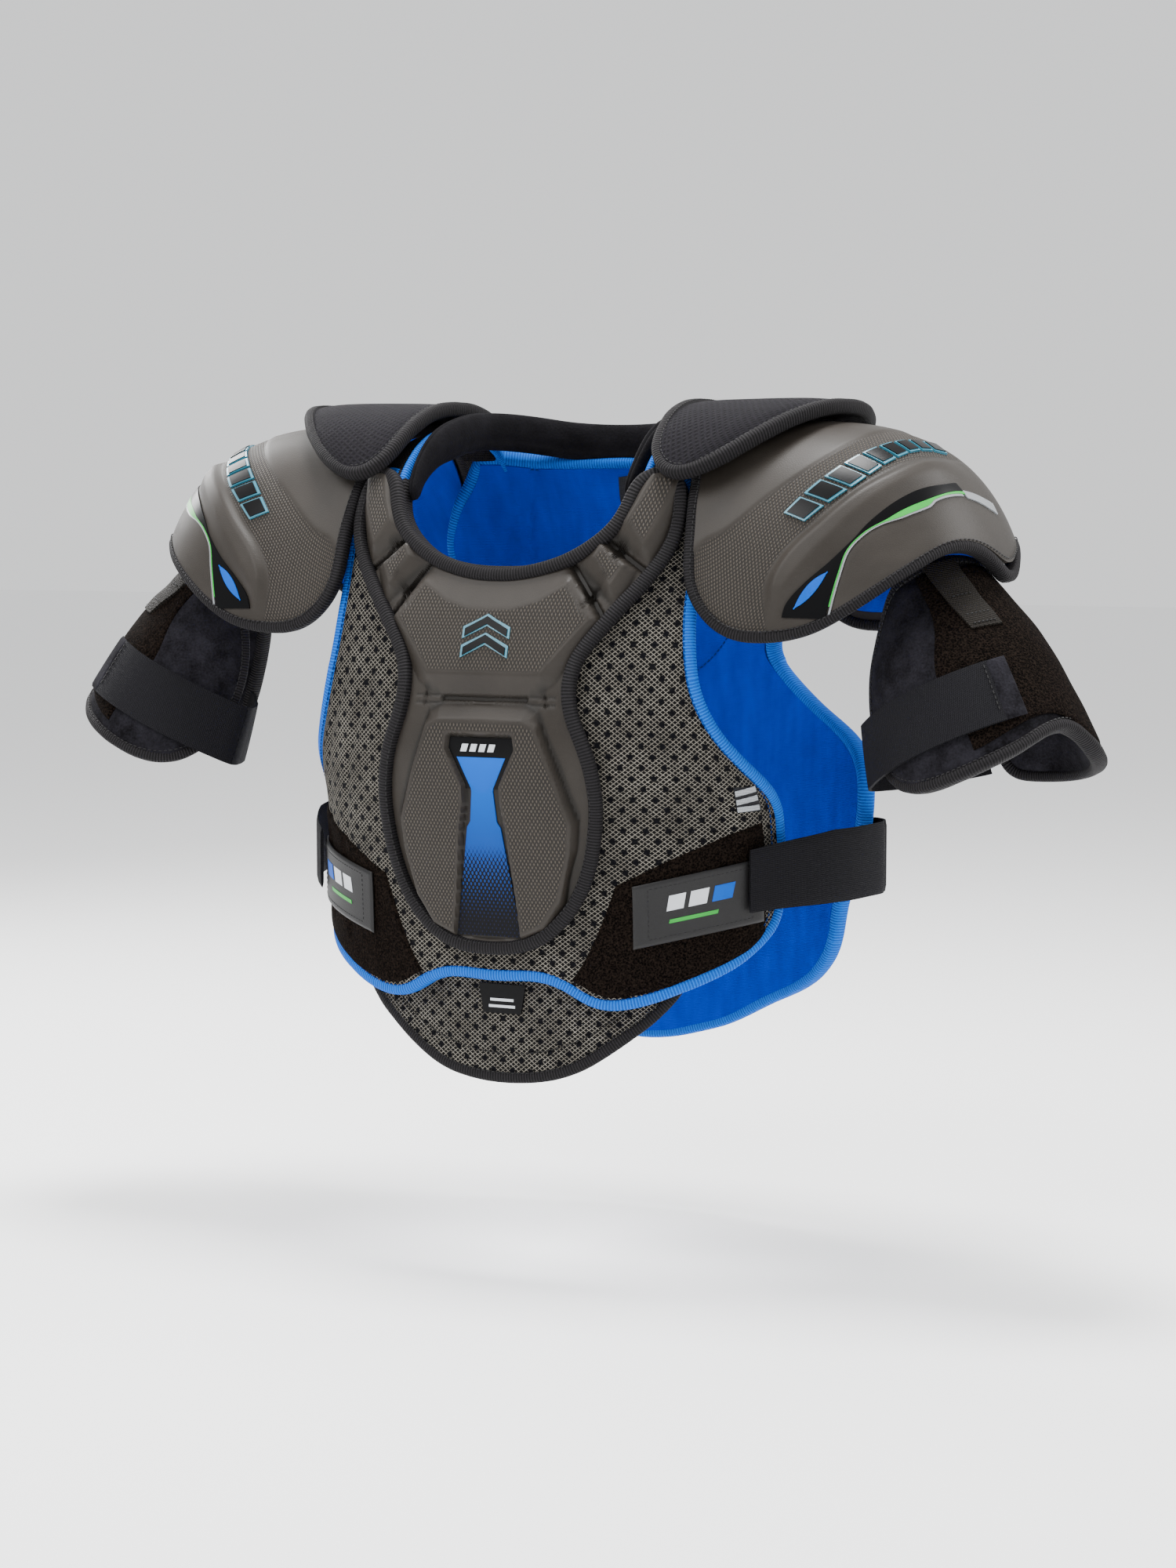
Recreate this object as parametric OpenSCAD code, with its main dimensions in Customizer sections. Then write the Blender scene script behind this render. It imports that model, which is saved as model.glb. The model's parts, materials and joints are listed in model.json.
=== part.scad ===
// Ice hockey shoulder pads, worn size, millimetres.
// The front faces -Y, +Z is up and +X is the wearer's left.
// The origin is on the middle line of the torso, level with the lowest edge of the back panel.

/* [Torso] */
// Half the chest width inside the front panel, at the armpits
chest_half_w = 172; // [170:1:174]
// Half the width inside the front panel, at the belt
waist_half_w = 150; // [149:1:152]
// Half the chest width inside the back panel
back_half_w = 186; // [183:1:189]
// Half the chest depth inside the panels
chest_half_d = 104; // [102:1:106]
// Height at which the torso starts to round over to the shoulders
round_start = 200; // [196:1:204]
// Height of the rounding above that
round_rise = 210; // [206:1:212]

/* [Layers] */
// Thickness of the soft lining
lining_t = 1.8; // [1:0.1:1.9]
// Distance from the lining's inside to the outside of a foam panel
panel_t = 10; // [8:0.5:10]
// Thickness of the moulded chest and spine plates
plate_t = 6.5; // [4:0.5:6.5]
// Width of the folded binding tape
tape_w = 8; // [6:0.5:9]

/* [Shoulder caps] */
// Depth of a cap from its middle to its front edge
cap_depth = 102; // [101:1:104]
// Height of a cap from its lower edge to its top
cap_rise = 140; // [138:1:141]
// Reach of a cap outwards from where it starts to round over
cap_reach = 163; // [161:1:165]
// Thickness of a cap's moulded shell
cap_t = 5.5; // [4:0.5:5.5]

/* [Arm guards] */
// Thickness of an arm guard
guard_t = 10; // [7:0.5:11]
// Width of the elastic arm strap
arm_strap_w = 38; // [30:1:40]
// Width of the adjusting webbing
webbing_w = 20; // [15:1:22]

/* [Belt] */
// Width of the elastic belt
belt_w = 45; // [38:1:46]
// Thickness of the elastic
elastic_t = 2; // [1.5:0.1:2]

/* [Hidden] */
bulge = 2.4;           // exponent of the torso's rounded-box section
shoulder_bulge = 4;    // exponent of the rounding over the shoulders
edge_spread = 75;      // degrees: how strongly columns gather at a panel's side edges
gap = 0.4;             // free space between layers
step = 0.02;           // step used to find a surface's normal

// ---- curves through points -------------------------------------------------

function mix(a, b, t) = a + (b - a) * t;
function unit(v) = v / norm(v);
function span(x, pts, i = 0) = i >= len(pts) - 2 || x < pts[i + 1][0] ? i : span(x, pts, i + 1);
function slope(pts, i) =
    let (a = max(i - 1, 0), b = min(i + 1, len(pts) - 1))
    (pts[b][1] - pts[a][1]) / (pts[b][0] - pts[a][0]);
// A smooth curve through the points, held level past both ends
function curve(x, pts) =
    let (
        c = min(max(x, pts[0][0]), pts[len(pts) - 1][0]),
        i = span(c, pts),
        w = pts[i + 1][0] - pts[i][0],
        t = (c - pts[i][0]) / w
    )
    (2 * t * t * t - 3 * t * t + 1) * pts[i][1] + (t * t * t - 2 * t * t + t) * w * slope(pts, i)
    + (3 * t * t - 2 * t * t * t) * pts[i + 1][1] + (t * t * t - t * t) * w * slope(pts, i + 1);

// ---- surfaces: functions of (a, b) whose normal a x b points outwards --------

function narrowing(z) =
    z <= round_start ? 1
    : pow(max(1 - pow((z - round_start) / round_rise, shoulder_bulge), 0.0001), 1 / bulge);
function depth_at(x, z, half_w) =
    let (k = narrowing(z))
    chest_half_d * k * pow(max(1 - pow(abs(x) / (half_w * k), bulge), 0.0001), 1 / bulge);

function front_half_w(z) = curve(z, [[150, waist_half_w], [185, waist_half_w + 4], [255, chest_half_w]]);
// How far the chest stands out beyond a straight front, in mm at each height
chest_crown = [[70, 0], [120, 2], [165, 7], [215, 11], [245, 9], [285, 0], [320, -8], [350, -8],
    [372, -4]];
front_skin = function (a, b)
    [a, -depth_at(a, b, front_half_w(b)) * (1 + curve(b, chest_crown) / chest_half_d), b];
// How far the back dips in beside the shoulder blades to pass inside the caps, at each height
blade_dip = [[255, 0], [292, 17], [355, 17], [384, 0]];
blade_dip_start = [[84, 0], [108, 1], [130, 1]];
back_skin = function (a, b)
    [-a, depth_at(a, b, back_half_w) - curve(b, blade_dip) * curve(abs(a), blade_dip_start), b];

// Over the shoulder: a is x, and b runs from 0 at the front over the top to 180 at the back
yoke_half_w = 178;
yoke_left_over = function (a) 1 - pow(a / yoke_half_w, bulge);
yoke_skin = function (a, b)
    let (r = yoke_left_over(a))
    [a, -chest_half_d * sign(cos(b)) * pow(r * cos(b) * cos(b), 1 / bulge),
     round_start + round_rise * pow(r * sin(b) * sin(b), 1 / shoulder_bulge)];

cap_start_x = 130;     // where the cap starts to round over outwards
cap_low_z = 270;
cap_middle_y = 3;
cap_skin = function (a, b)
    let (r = 1 - pow(max(a - cap_start_x, 0) / cap_reach, 3.5))
    [a, cap_middle_y - cap_depth * sign(cos(b)) * pow(r * cos(b) * cos(b), 1 / bulge),
     cap_low_z + cap_rise * pow(r * sin(b) * sin(b), 1 / 2.2)];

// Round the upper arm: a runs down the arm in mm, b is the angle from outside (0) to the rear
arm_top = [238, -6, 318];
arm_way = unit([0.36, -0.14, -0.92]);
arm_out = unit([1, 0, 0] - arm_way * arm_way[0]);
arm_side = cross(arm_out, arm_way);
arm_radius = [[-10, 27], [0, 30], [30, 42], [60, 54], [100, 63], [150, 70]];
guard_skin = function (a, b)
    arm_top + a * arm_way + curve(a, arm_radius) * (cos(b) * arm_out + sin(b) * arm_side);

function normal(skin, a, b) =
    unit(cross(skin(a + step, b) - skin(a - step, b), skin(a, b + step) - skin(a, b - step)));
function lifted(skin, p, d) = skin(p[0], p[1]) + d * normal(skin, p[0], p[1]);

// ---- solids ------------------------------------------------------------------

// A closed solid between an outer and an inner grid of points
module shell(outer, inner) {
    rows = len(outer);
    cols = len(outer[0]);
    half = rows * cols;
    at = function (i, j, k) i * cols + j + k * half;
    rim = concat(
        [for (j = [0:cols - 2]) [0, j]], [for (i = [0:rows - 2]) [i, cols - 1]],
        [for (j = [cols - 1:-1:1]) [rows - 1, j]], [for (i = [rows - 1:-1:1]) [i, 0]]
    );
    faces = concat(
        [for (i = [0:rows - 2], j = [0:cols - 2]) each [
            [at(i, j, 0), at(i + 1, j + 1, 0), at(i, j + 1, 0)],
            [at(i, j, 0), at(i + 1, j, 0), at(i + 1, j + 1, 0)],
            [at(i, j, 1), at(i, j + 1, 1), at(i + 1, j + 1, 1)],
            [at(i, j, 1), at(i + 1, j + 1, 1), at(i + 1, j, 1)]]],
        [for (k = [0:len(rim) - 1])
            let (p = rim[k], q = rim[(k + 1) % len(rim)])
            each [[at(p[0], p[1], 0), at(q[0], q[1], 0), at(q[0], q[1], 1)],
                  [at(p[0], p[1], 0), at(q[0], q[1], 1), at(p[0], p[1], 1)]]]
    );
    polyhedron([for (g = [outer, inner]) each [for (row = g) each row]], faces);
}

// A layer of a surface, over a grid of [a, b] places, from low to high above it
module layer(skin, grid, low, high) {
    shell([for (row = grid) [for (p = row) lifted(skin, p, high)]],
          [for (row = grid) [for (p = row) lifted(skin, p, low)]]);
}

// A solid whose sections are rings of points, joined end to end or closed by two caps
module tube(rings, closed = false) {
    n = len(rings);
    m = len(rings[0]);
    at = function (i, j) (i % n) * m + (j % m);
    walls = [for (i = [0:(closed ? n - 1 : n - 2)], j = [0:m - 1]) each [
        [at(i, j), at(i + 1, j + 1), at(i, j + 1)], [at(i, j), at(i + 1, j), at(i + 1, j + 1)]]];
    ends = closed ? [] : [[for (j = [0:m - 1]) j], [for (j = [m - 1:-1:0]) (n - 1) * m + j]];
    polyhedron([for (r = rings) each r], concat(walls, ends));
}

// Folded tape along a closed loop of [a, b] places: wide in the surface, thick across it
module binding(skin, loop, wide, low, high) {
    n = len(loop);
    r = wide / 2;
    mid = (low + high) / 2;
    section = [[-r, low + 1.5], [-r, high - 1.5], [-r + 2, high], [r - 2, high],
               [r, mid], [r - 2, low], [-r + 2, low]];
    rings = [for (i = [0:n - 1])
        let (
            p = lifted(skin, loop[i], 0),
            up = normal(skin, loop[i][0], loop[i][1]),
            q = lifted(skin, loop[(i + 1) % n], 0) - lifted(skin, loop[(i + n - 1) % n], 0),
            side = unit(cross(q, up))
        )
        [for (s = section) p + s[0] * side + s[1] * up]];
    tube(rings, closed = true);
}

// ---- panels that are mirrored about the middle ---------------------------------

// Grid of [x, z] places on a panel given by its half width, bottom and top curves
function panel_grid(wide, bottom, top, inset, cols, rows) =
    let (low_w = curve(bottom[len(bottom) - 1][1], wide), top_w = curve(1000, wide))
    [for (i = [0:rows]) [for (j = [-cols:cols])
        let (
            g = sin(edge_spread * j / cols) / sin(edge_spread),
            low = curve(abs(g) * low_w, bottom) + inset,
            high = curve(abs(g) * top_w, top) - inset,
            z = mix(low, high, i / rows)
        )
        [g * (curve(z, wide) - inset), z]]];

// The places round the edge of a grid, with its four corners cut a little
function around(grid) =
    let (rows = len(grid), cols = len(grid[0]))
    concat([for (j = [1:cols - 2]) grid[0][j]], [for (i = [1:rows - 2]) grid[i][cols - 1]],
           [for (j = [cols - 2:-1:1]) grid[rows - 1][j]], [for (i = [rows - 2:-1:1]) grid[i][0]]);

neckline = [[0, 316], [18, 317], [42, 324], [60, 337], [72, 352], [80, 372], [120, 374]];
front_wide = [[60, 142], [90, 145.5], [110, 147], [140, 147.6], [160, 148], [178, 148.5], [190, 147],
    [203, 141], [224, 130], [246, 122], [267, 118], [292, 116], [335, 115], [360, 110], [375, 103]];
front_hem = [[0, 73], [38, 73], [68, 58], [90, 60], [108, 67], [136, 84], [148, 104]];
plate_wide = [[87, 72], [168, 72], [190, 72], [212, 68], [232, 60], [246, 57.5], [262, 60],
    [286, 76], [309, 94], [336, 107], [360, 106], [375, 101]];
plate_bottom = [[0, 87], [18, 88], [35, 94], [49, 106], [60, 122], [68, 145], [72, 168]];
back_wide = [[0, 140], [60, 144], [80, 146], [100, 148], [120, 155], [140, 165], [160, 173],
    [180, 176], [192, 174], [208, 160], [226, 130], [245, 106], [262, 93], [282, 99], [304, 114],
    [328, 121], [348, 116], [368, 106], [386, 98]];
back_hem = [[0, 5], [20, 7], [36, 11], [63, 19], [92, 34], [127, 52], [142, 70], [148, 90]];
back_neck = [[0, 384], [60, 384], [90, 387], [120, 386]];
spine_wide = [[20, 48], [70, 58], [120, 54], [180, 42], [230, 38], [280, 42], [320, 56], [350, 70],
    [372, 74]];
spine_bottom = [[0, 30], [25, 32], [45, 40], [58, 60]];
spine_top = [[0, 366], [40, 366], [74, 362]];
belly_wide = [[8, 120], [100, 120], [150, 116]];
belly_bottom = [[0, 8], [25, 10], [50, 18], [80, 38], [100, 55], [113, 75], [120, 100]];
belly_top = [[0, 148], [100, 146], [120, 140]];

module front_panel() {
    color("#5b5750")
        layer(front_skin, panel_grid(front_wide, front_hem, neckline, tape_w / 2 + 1, 14, 14),
              lining_t + 0.2, panel_t);
}

module front_lining() {
    color("#0b49c9")
        layer(front_skin, panel_grid(front_wide, front_hem, neckline, tape_w / 2 + 1, 10, 10),
              0, lining_t - 0.4);
}

module front_binding() {
    color("#1a86e8")
        binding(front_skin, around(panel_grid(front_wide, front_hem, neckline, 0, 14, 16)),
                tape_w, 0, panel_t);
}

module chest_plate() {
    color("#4c4845")
        layer(front_skin, panel_grid(plate_wide, plate_bottom, neckline, tape_w + 1, 12, 16),
              panel_t + gap, panel_t + gap + plate_t);
}

module chest_plate_binding() {
    color("#1d1b1d")
        binding(front_skin, around(panel_grid(plate_wide, plate_bottom, neckline, tape_w / 2, 14, 18)),
                tape_w, panel_t + gap, panel_t + plate_t + 0.7);
}

badge_half = [[97, 21], [120, 17.5], [140, 15], [160, 12.5], [166, 9.5], [186, 8.5], [204, 18],
    [212, 22], [220, 22]];
module chest_badge() {
    color("#2f8fe6")
        layer(front_skin, [for (i = [0:10]) let (z = mix(99, 219, i / 10))
                  [for (j = [-2:2]) [j / 2 * curve(z, badge_half), z]]],
              panel_t + 2 * gap + plate_t, panel_t + 2 * gap + plate_t + 1.4);
}

module chest_emblem() {
    color("#101416")
        layer(front_skin, [for (i = [0:4]) let (z = mix(252, 284, i / 4))
                  [for (j = [-2:2]) [j / 2 * curve(z, [[252, 8], [268, 16], [284, 8]]), z]]],
              panel_t + 2 * gap + plate_t, panel_t + 2 * gap + plate_t + 2.2);
}

// Fleece that the belt's tab grips, from the side edge to under the chest plate
module loop_patch() {
    color("#17130f")
        layer(front_skin, [for (i = [0:4]) [for (j = [0:8])
                  let (
                      x = mix(mix(50, 76, i / 4), 142.5, j / 8),
                      low = curve(x, front_hem) + tape_w,
                      high = curve(x, [[50, 122], [76, 132], [105, 148], [145, 170]])
                  )
                  [x, mix(low, high, i / 4)]]],
              panel_t + 0.05, panel_t + 0.35);
}

module size_label() {
    color("#e8e8ea")
        layer(front_skin, [for (i = [0:2]) [for (j = [0:1])
                  [mix(134, 142.5, j) - i * 0.7, mix(176, 192, i / 2)]]],
              panel_t + gap, panel_t + gap + 0.8);
}

module back_panel() {
    color("#5b5750")
        layer(back_skin, panel_grid(back_wide, back_hem, back_neck, tape_w / 2 + 1, 14, 16),
              lining_t + 0.2, panel_t);
}

module back_lining() {
    color("#0b3fc4")
        layer(back_skin, panel_grid(back_wide, back_hem, back_neck, tape_w / 2 + 1, 10, 12),
              0, lining_t - 0.4);
}

module back_binding() {
    color("#1a86e8")
        binding(back_skin, around(panel_grid(back_wide, back_hem, back_neck, 0, 13, 18)),
                tape_w, 0, panel_t);
}

module spine_plate() {
    color("#4c4845")
        layer(back_skin, panel_grid(spine_wide, spine_bottom, spine_top, tape_w / 2 + 1, 8, 14),
              panel_t + gap, panel_t + gap + plate_t);
}

module spine_plate_binding() {
    color("#1d1b1d")
        binding(back_skin, around(panel_grid(spine_wide, spine_bottom, spine_top, 0, 8, 14)),
                tape_w, panel_t + gap, panel_t + plate_t + 1.5);
}

module belly_pad() {
    color("#5b5750")
        layer(front_skin, panel_grid(belly_wide, belly_bottom, belly_top, tape_w / 2 + 1, 9, 6),
              -9, -1.6);
}

module belly_binding() {
    color("#201e1f")
        binding(front_skin, around(panel_grid(belly_wide, belly_bottom, belly_top, 0, 12, 8)),
                tape_w, -9, -0.8);
}

module belly_badge() {
    color("#15171c")
        layer(front_skin, [for (i = [0:1]) [for (j = [-2:2]) [j * mix(6.5, 8, i), mix(48, 66, i)]]],
              -1.4, -0.5);
}

// ---- shoulder yoke, collar and small parts on the back --------------------------

// The angle over the shoulder at which the yoke passes a height
function yoke_angle(x, z) =
    asin(sqrt(min(pow((z - round_start) / round_rise, shoulder_bulge) / yoke_left_over(x), 0.98)));

module yoke() {
    color("#232126")
        layer(yoke_skin, [for (i = [0:4]) let (x = mix(103, 84, i / 4))
                  [for (j = [0:14]) [x, mix(yoke_angle(x, 380), 180 - yoke_angle(x, 391), j / 14)]]],
              7, 0.5);
}

collar_line = [[[-76, -22, 402], [-77, 5, 406.5], [-73, 32, 407], [-60, 55, 404], [-34, 71, 400],
    [0, 76, 398.5]], 24, 12];
module collar_pad() {
    half = collar_line[0];
    path = concat(half, [for (i = [len(half) - 2:-1:0]) [-half[i][0], half[i][1], half[i][2]]]);
    high = collar_line[1] / 2;
    thick = collar_line[2] / 2;
    n = len(path);
    rings = [for (i = [0:n - 1])
        let (
            way = path[min(i + 1, n - 1)] - path[max(i - 1, 0)],
            out = unit(cross(way, [0, 0, 1]))
        )
        [for (k = [0:9]) path[i] + thick * cos(36 * k) * out + [0, 0, high * sin(36 * k)]]];
    color("#221f21") tube(rings);
}

module hang_loop() {
    color("#111113")
        translate([4, 68, 368]) rotate([90, 0, 0]) linear_extrude(1.6) difference() {
            polygon([[-10, 18], [10, 18], [3, 0], [-3, 0]]);
            polygon([[-6, 15], [6, 15], [1.2, 4], [-1.2, 4]]);
        }
}

module neck_patch() {
    color("#11141c")
        layer(back_skin, [for (i = [0:4]) let (z = mix(334, 364, i / 4))
                  [for (j = [-2:2]) [26 + j / 2 * curve(z, [[334, 8], [349, 16], [364, 8]]), z]]],
              -0.9, -0.2);
}

belt_mid_z = 139;
module belt_rear() {
    color("#131112")
        layer(back_skin, [for (i = [0:1]) [for (j = [0:8])
                  [mix(-172, -68, j / 8), belt_mid_z + (i - 0.5) * belt_w]]],
              panel_t + gap, panel_t + gap + elastic_t);
}

// ---- belt: the part that swings open ----------------------------------------------

belt_line = [[149, -66], [163, -47], [176, -24], [186, 0], [192, 22], [194, 38], [190, 50]];
module belt() {
    n = len(belt_line);
    rings = [for (i = [0:n - 1])
        let (
            way = belt_line[min(i + 1, n - 1)] - belt_line[max(i - 1, 0)],
            out = unit([way[1], -way[0]]) * elastic_t / 2,
            p = belt_line[i],
            z = mix(133, belt_mid_z, min(i / 2, 1)),
            h = (i == 0 ? 38 : belt_w) / 2
        )
        [[p[0] - out[0], p[1] - out[1], z - h], [p[0] - out[0], p[1] - out[1], z + h],
         [p[0] + out[0], p[1] + out[1], z + h], [p[0] + out[0], p[1] + out[1], z - h]]];
    color("#131112") tube(rings);
}

belt_tab_slant = 0.26;
module belt_tab() {
    color("#2b2a2c")
        layer(front_skin, [for (i = [0:2]) [for (j = [0:8]) let (x = mix(85, 141, j / 8))
                  [x, 93 + belt_tab_slant * (x - 85) + mix(0, 39, i / 2)]]],
              panel_t + 0.8, panel_t + 3);
}

// ---- shoulder cap ---------------------------------------------------------------------

cap_inner = [[0, 122], [20, 120], [60, 113], [90, 108], [120, 113], [160, 120], [180, 122]];
cap_outer = [[0, 205], [14, 232], [30, 259], [60, 282], [90, 289], [120, 282], [150, 259],
    [166, 232], [180, 205]];
cap_low = [[0, 14], [0.12, 8], [0.3, 4.2], [0.6, 3.8], [0.8, 5.5], [0.9, 8.5], [1, 15]];

// Grid of [x, angle] places on a cap, trimmed by a share of its width and of its arch
function cap_grid(trim_x, trim_b, cols, rows) =
    [for (i = [0:cols]) let (s = mix(trim_x, 1 - trim_x, i / cols), low = curve(s, cap_low))
        [for (j = [0:rows])
            let (b = mix(low, 180 - low, mix(trim_b, 1 - trim_b, j / rows)))
            [mix(curve(b, cap_inner), curve(b, cap_outer), s), b]]];

module cap_shell() {
    color("#4a4643") layer(cap_skin, cap_grid(0.035, 0.022, 10, 16), 0, -cap_t);
}

module cap_liner() {
    color("#1b1a1c") layer(cap_skin, cap_grid(0.12, 0.07, 6, 10), -cap_t - 0.3, -cap_t - 5);
}

module cap_binding() {
    color("#1d1b1d") binding(cap_skin, around(cap_grid(0.0, 0.0, 12, 20)), 7, -8, 0.6);
}

// A strip that lies on the front and outer side of a cap, between two curves of x over angle
module cap_strip(inner, outer, from, to, low, high, rows) {
    layer(cap_skin, [for (i = [0:2]) [for (j = [0:rows]) let (b = mix(from, to, j / rows))
              [mix(curve(b, inner), curve(b, outer), i / 2), b]]], high, low);
}

accent_inner = [[6, 181], [11, 184], [16, 194], [22, 208], [29, 220], [34, 226], [42, 235.5],
    [52, 246], [65, 257], [80, 264]];
accent_outer = [[6, 207], [20, 214], [26, 217.5], [32, 225.7], [39, 238], [54, 254.7], [75, 266],
    [93, 273]];
module cap_accent() {
    color("#08080a") cap_strip(accent_inner, accent_outer, 12, 72, 0.4, 1.4, 12);
}

module cap_stripe() {
    color("#5fd06b") cap_strip([for (p = accent_outer) [p[0], p[1] + 0.7]],
                               [for (p = accent_outer) [p[0], p[1] + 4]], 12, 92, 0.4, 1.2, 14);
}

module cap_badge() {
    color("#1f86e0") cap_strip([[13, 194], [17, 200], [20, 208]], [[13, 198], [17, 206], [20, 210]],
                               13, 20, 1.8, 2.4, 4);
}

module cap_emblem() {
    color("#101416") cap_strip([[32, 172], [42, 187], [55, 205], [68, 219], [82, 229], [95, 236]],
                               [[26, 176], [36, 196], [48, 216], [63, 230], [79, 239], [95, 247]],
                               34, 94, 0.4, 2.2, 10);
}

// ---- shoulder flap: soft pad over the inner end of a cap -----------------------------------

flap_inner = [[42, 94], [55, 88], [70, 85], [90, 84], [110, 85], [138, 92]];
flap_outer = [[42, 122], [50, 140], [60, 158], [75, 176], [90, 184], [105, 183], [120, 172],
    [138, 140]];
flap_front = [[0, 47], [0.25, 42.5], [0.7, 42], [1, 45.5]];
function flap_grid(inset, cols, rows) =
    [for (i = [0:cols]) let (s = i / cols, front = curve(s, flap_front) + inset * 0.6)
        [for (j = [0:rows]) let (b = mix(front, 180 - front, j / rows))
            [mix(curve(b, flap_inner) + inset, curve(b, flap_outer) - inset, s), b]]];
flap_bed = function (a, b) lifted(cap_skin, [a, b], 4.5 + 10 * cos(b) * cos(b));

module flap() {
    color("#2a2830") layer(flap_bed, flap_grid(6, 6, 12), 10.5, 0);
}

module flap_binding() {
    color("#1d1b1f") binding(flap_bed, around(flap_grid(2.2, 8, 14)), 7, 0, 9.5);
}

// ---- upper-arm guard, its straps and webbing --------------------------------------------------

guard_front = [[0, -118], [0.3, -142], [0.6, -146], [0.85, -136], [1, -122]];
guard_rear = 95;
// Distance down the arm of the top and bottom edges, from the front edge (0) to the rear edge (1)
guard_bottom = [[0, 130], [0.1, 135], [0.28, 130], [0.47, 119], [0.62, 138], [0.8, 137], [1, 122]];
guard_top = [[0, 8], [0.3, 2], [0.6, 6], [1, 8]];
function guard_grid(inset, cols, rows) =
    [for (i = [0:cols]) [for (j = [0:rows])
        let (s = j / rows, t = i / cols)
        [mix(curve(s, guard_top) + inset, curve(s, guard_bottom) - inset, t),
         mix(curve(t, guard_front) + inset, guard_rear - inset, s)]]];

module guard() {
    color("#27252b") layer(guard_skin, guard_grid(4.5, 8, 16), 0, -guard_t);
}

module guard_binding() {
    color("#1b1a1d") binding(guard_skin, around(guard_grid(0, 8, 18)), 7, -guard_t + 1, 0.5);
}

module guard_loop() {
    color("#1b1613")
        layer(guard_skin, [for (i = [0:4]) [for (j = [0:6]) let (s = mix(0.27, 0.63, j / 6))
                  [mix(20, curve(s, guard_bottom) - 8, i / 4), mix(-140, guard_rear, s)]]], 1.4, 0.1);
}

module guard_webbing() {
    half = asin(webbing_w / 2 / 44);
    color("#3a3834")
        layer(guard_skin, [for (i = [0:6]) [for (j = [-1:1])
                  [mix(5, 53, i / 6), mix(-60, -46, i / 6) + j * half]]], 3.3, 1.7);
}

strap_low = 82;
// Height of the arm strap above the guard's outside, all the way round the arm
strap_lift = [[-262, -13.5], [-235, -22], [-207, -24], [-180, -16], [-165, -7], [-152, 3.6],
    [-140, 3.6], [-120, 2.8], [-40, 2.6]];
strap_skin = function (a, b)
    arm_top + a * arm_way
    + (curve(a, arm_radius) + curve(b, strap_lift)) * (cos(b) * arm_out + sin(b) * arm_side);

module arm_strap() {
    color("#1a181c")
        layer(strap_skin, [for (i = [0:1]) [for (j = [0:16])
                  [strap_low + i * arm_strap_w, mix(-256, -155, j / 16)]]], elastic_t, 0);
}

module arm_strap_tab() {
    color("#1a181c")
        layer(strap_skin, [for (i = [0:1]) [for (j = [0:10])
                  [strap_low + i * arm_strap_w - j * 0.8, mix(-150, -46, j / 10)]]], elastic_t, 0);
}

// ---- the assembly ---------------------------------------------------------------------------------

module pair(side) {
    if (side == "left") children();
    else mirror([1, 0, 0]) children();
}

front_lining();
front_panel();
front_binding();
chest_plate();
chest_plate_binding();
chest_badge();
chest_emblem();
size_label();
back_lining();
back_panel();
back_binding();
spine_plate();
spine_plate_binding();
collar_pad();
hang_loop();
neck_patch();
belly_pad();
belly_binding();
belly_badge();
for (side = ["left", "right"]) pair(side) {
    loop_patch();
    yoke();
    belt_rear();
    belt();
    belt_tab();
    cap_shell();
    cap_liner();
    cap_binding();
    cap_accent();
    cap_stripe();
    cap_badge();
    cap_emblem();
    flap();
    flap_binding();
    guard();
    guard_binding();
    guard_loop();
    guard_webbing();
    arm_strap();
    arm_strap_tab();
}
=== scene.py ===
"""Ice hockey shoulder pads: moulded foam over a padded vest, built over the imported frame."""

import json
import logging
import math
from dataclasses import dataclass
from enum import Enum
from functools import partial
from typing import Callable, Optional, Sequence, Union

import bmesh
import bpy
import numpy as np
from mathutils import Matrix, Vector
from mathutils.kdtree import KDTree

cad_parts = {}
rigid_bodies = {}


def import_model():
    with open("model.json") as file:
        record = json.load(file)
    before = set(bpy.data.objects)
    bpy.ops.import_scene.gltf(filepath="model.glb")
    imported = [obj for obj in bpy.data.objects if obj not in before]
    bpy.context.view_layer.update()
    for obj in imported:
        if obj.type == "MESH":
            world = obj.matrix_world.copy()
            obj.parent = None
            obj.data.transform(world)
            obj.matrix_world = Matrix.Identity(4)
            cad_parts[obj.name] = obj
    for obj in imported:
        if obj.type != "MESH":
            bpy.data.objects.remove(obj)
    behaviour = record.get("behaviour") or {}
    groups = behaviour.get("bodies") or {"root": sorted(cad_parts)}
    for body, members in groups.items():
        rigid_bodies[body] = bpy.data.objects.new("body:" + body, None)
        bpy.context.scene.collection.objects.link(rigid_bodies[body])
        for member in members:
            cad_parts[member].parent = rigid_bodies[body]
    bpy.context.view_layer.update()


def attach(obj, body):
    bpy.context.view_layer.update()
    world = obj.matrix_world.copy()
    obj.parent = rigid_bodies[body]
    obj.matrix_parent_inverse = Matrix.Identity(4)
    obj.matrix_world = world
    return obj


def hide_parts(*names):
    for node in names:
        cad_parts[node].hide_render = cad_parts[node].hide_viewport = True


for spare in list(bpy.data.objects):
    bpy.data.objects.remove(spare)
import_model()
LOG = logging.getLogger("shoulder_pads")

Array = np.ndarray
Number = Union[float, Array]
Curve = Sequence[tuple[float, float]]
MM = 0.001
SEED = 7


class Side(Enum):
    """The wearer's side that a piece is on, with the sign of its x."""

    LEFT = 1
    RIGHT = -1

    @property
    def word(self) -> str:
        """The side's name as the frame's nodes end."""
        return self.name.lower()


# ---- curves and surfaces, in millimetres ----------------------------------------


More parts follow.
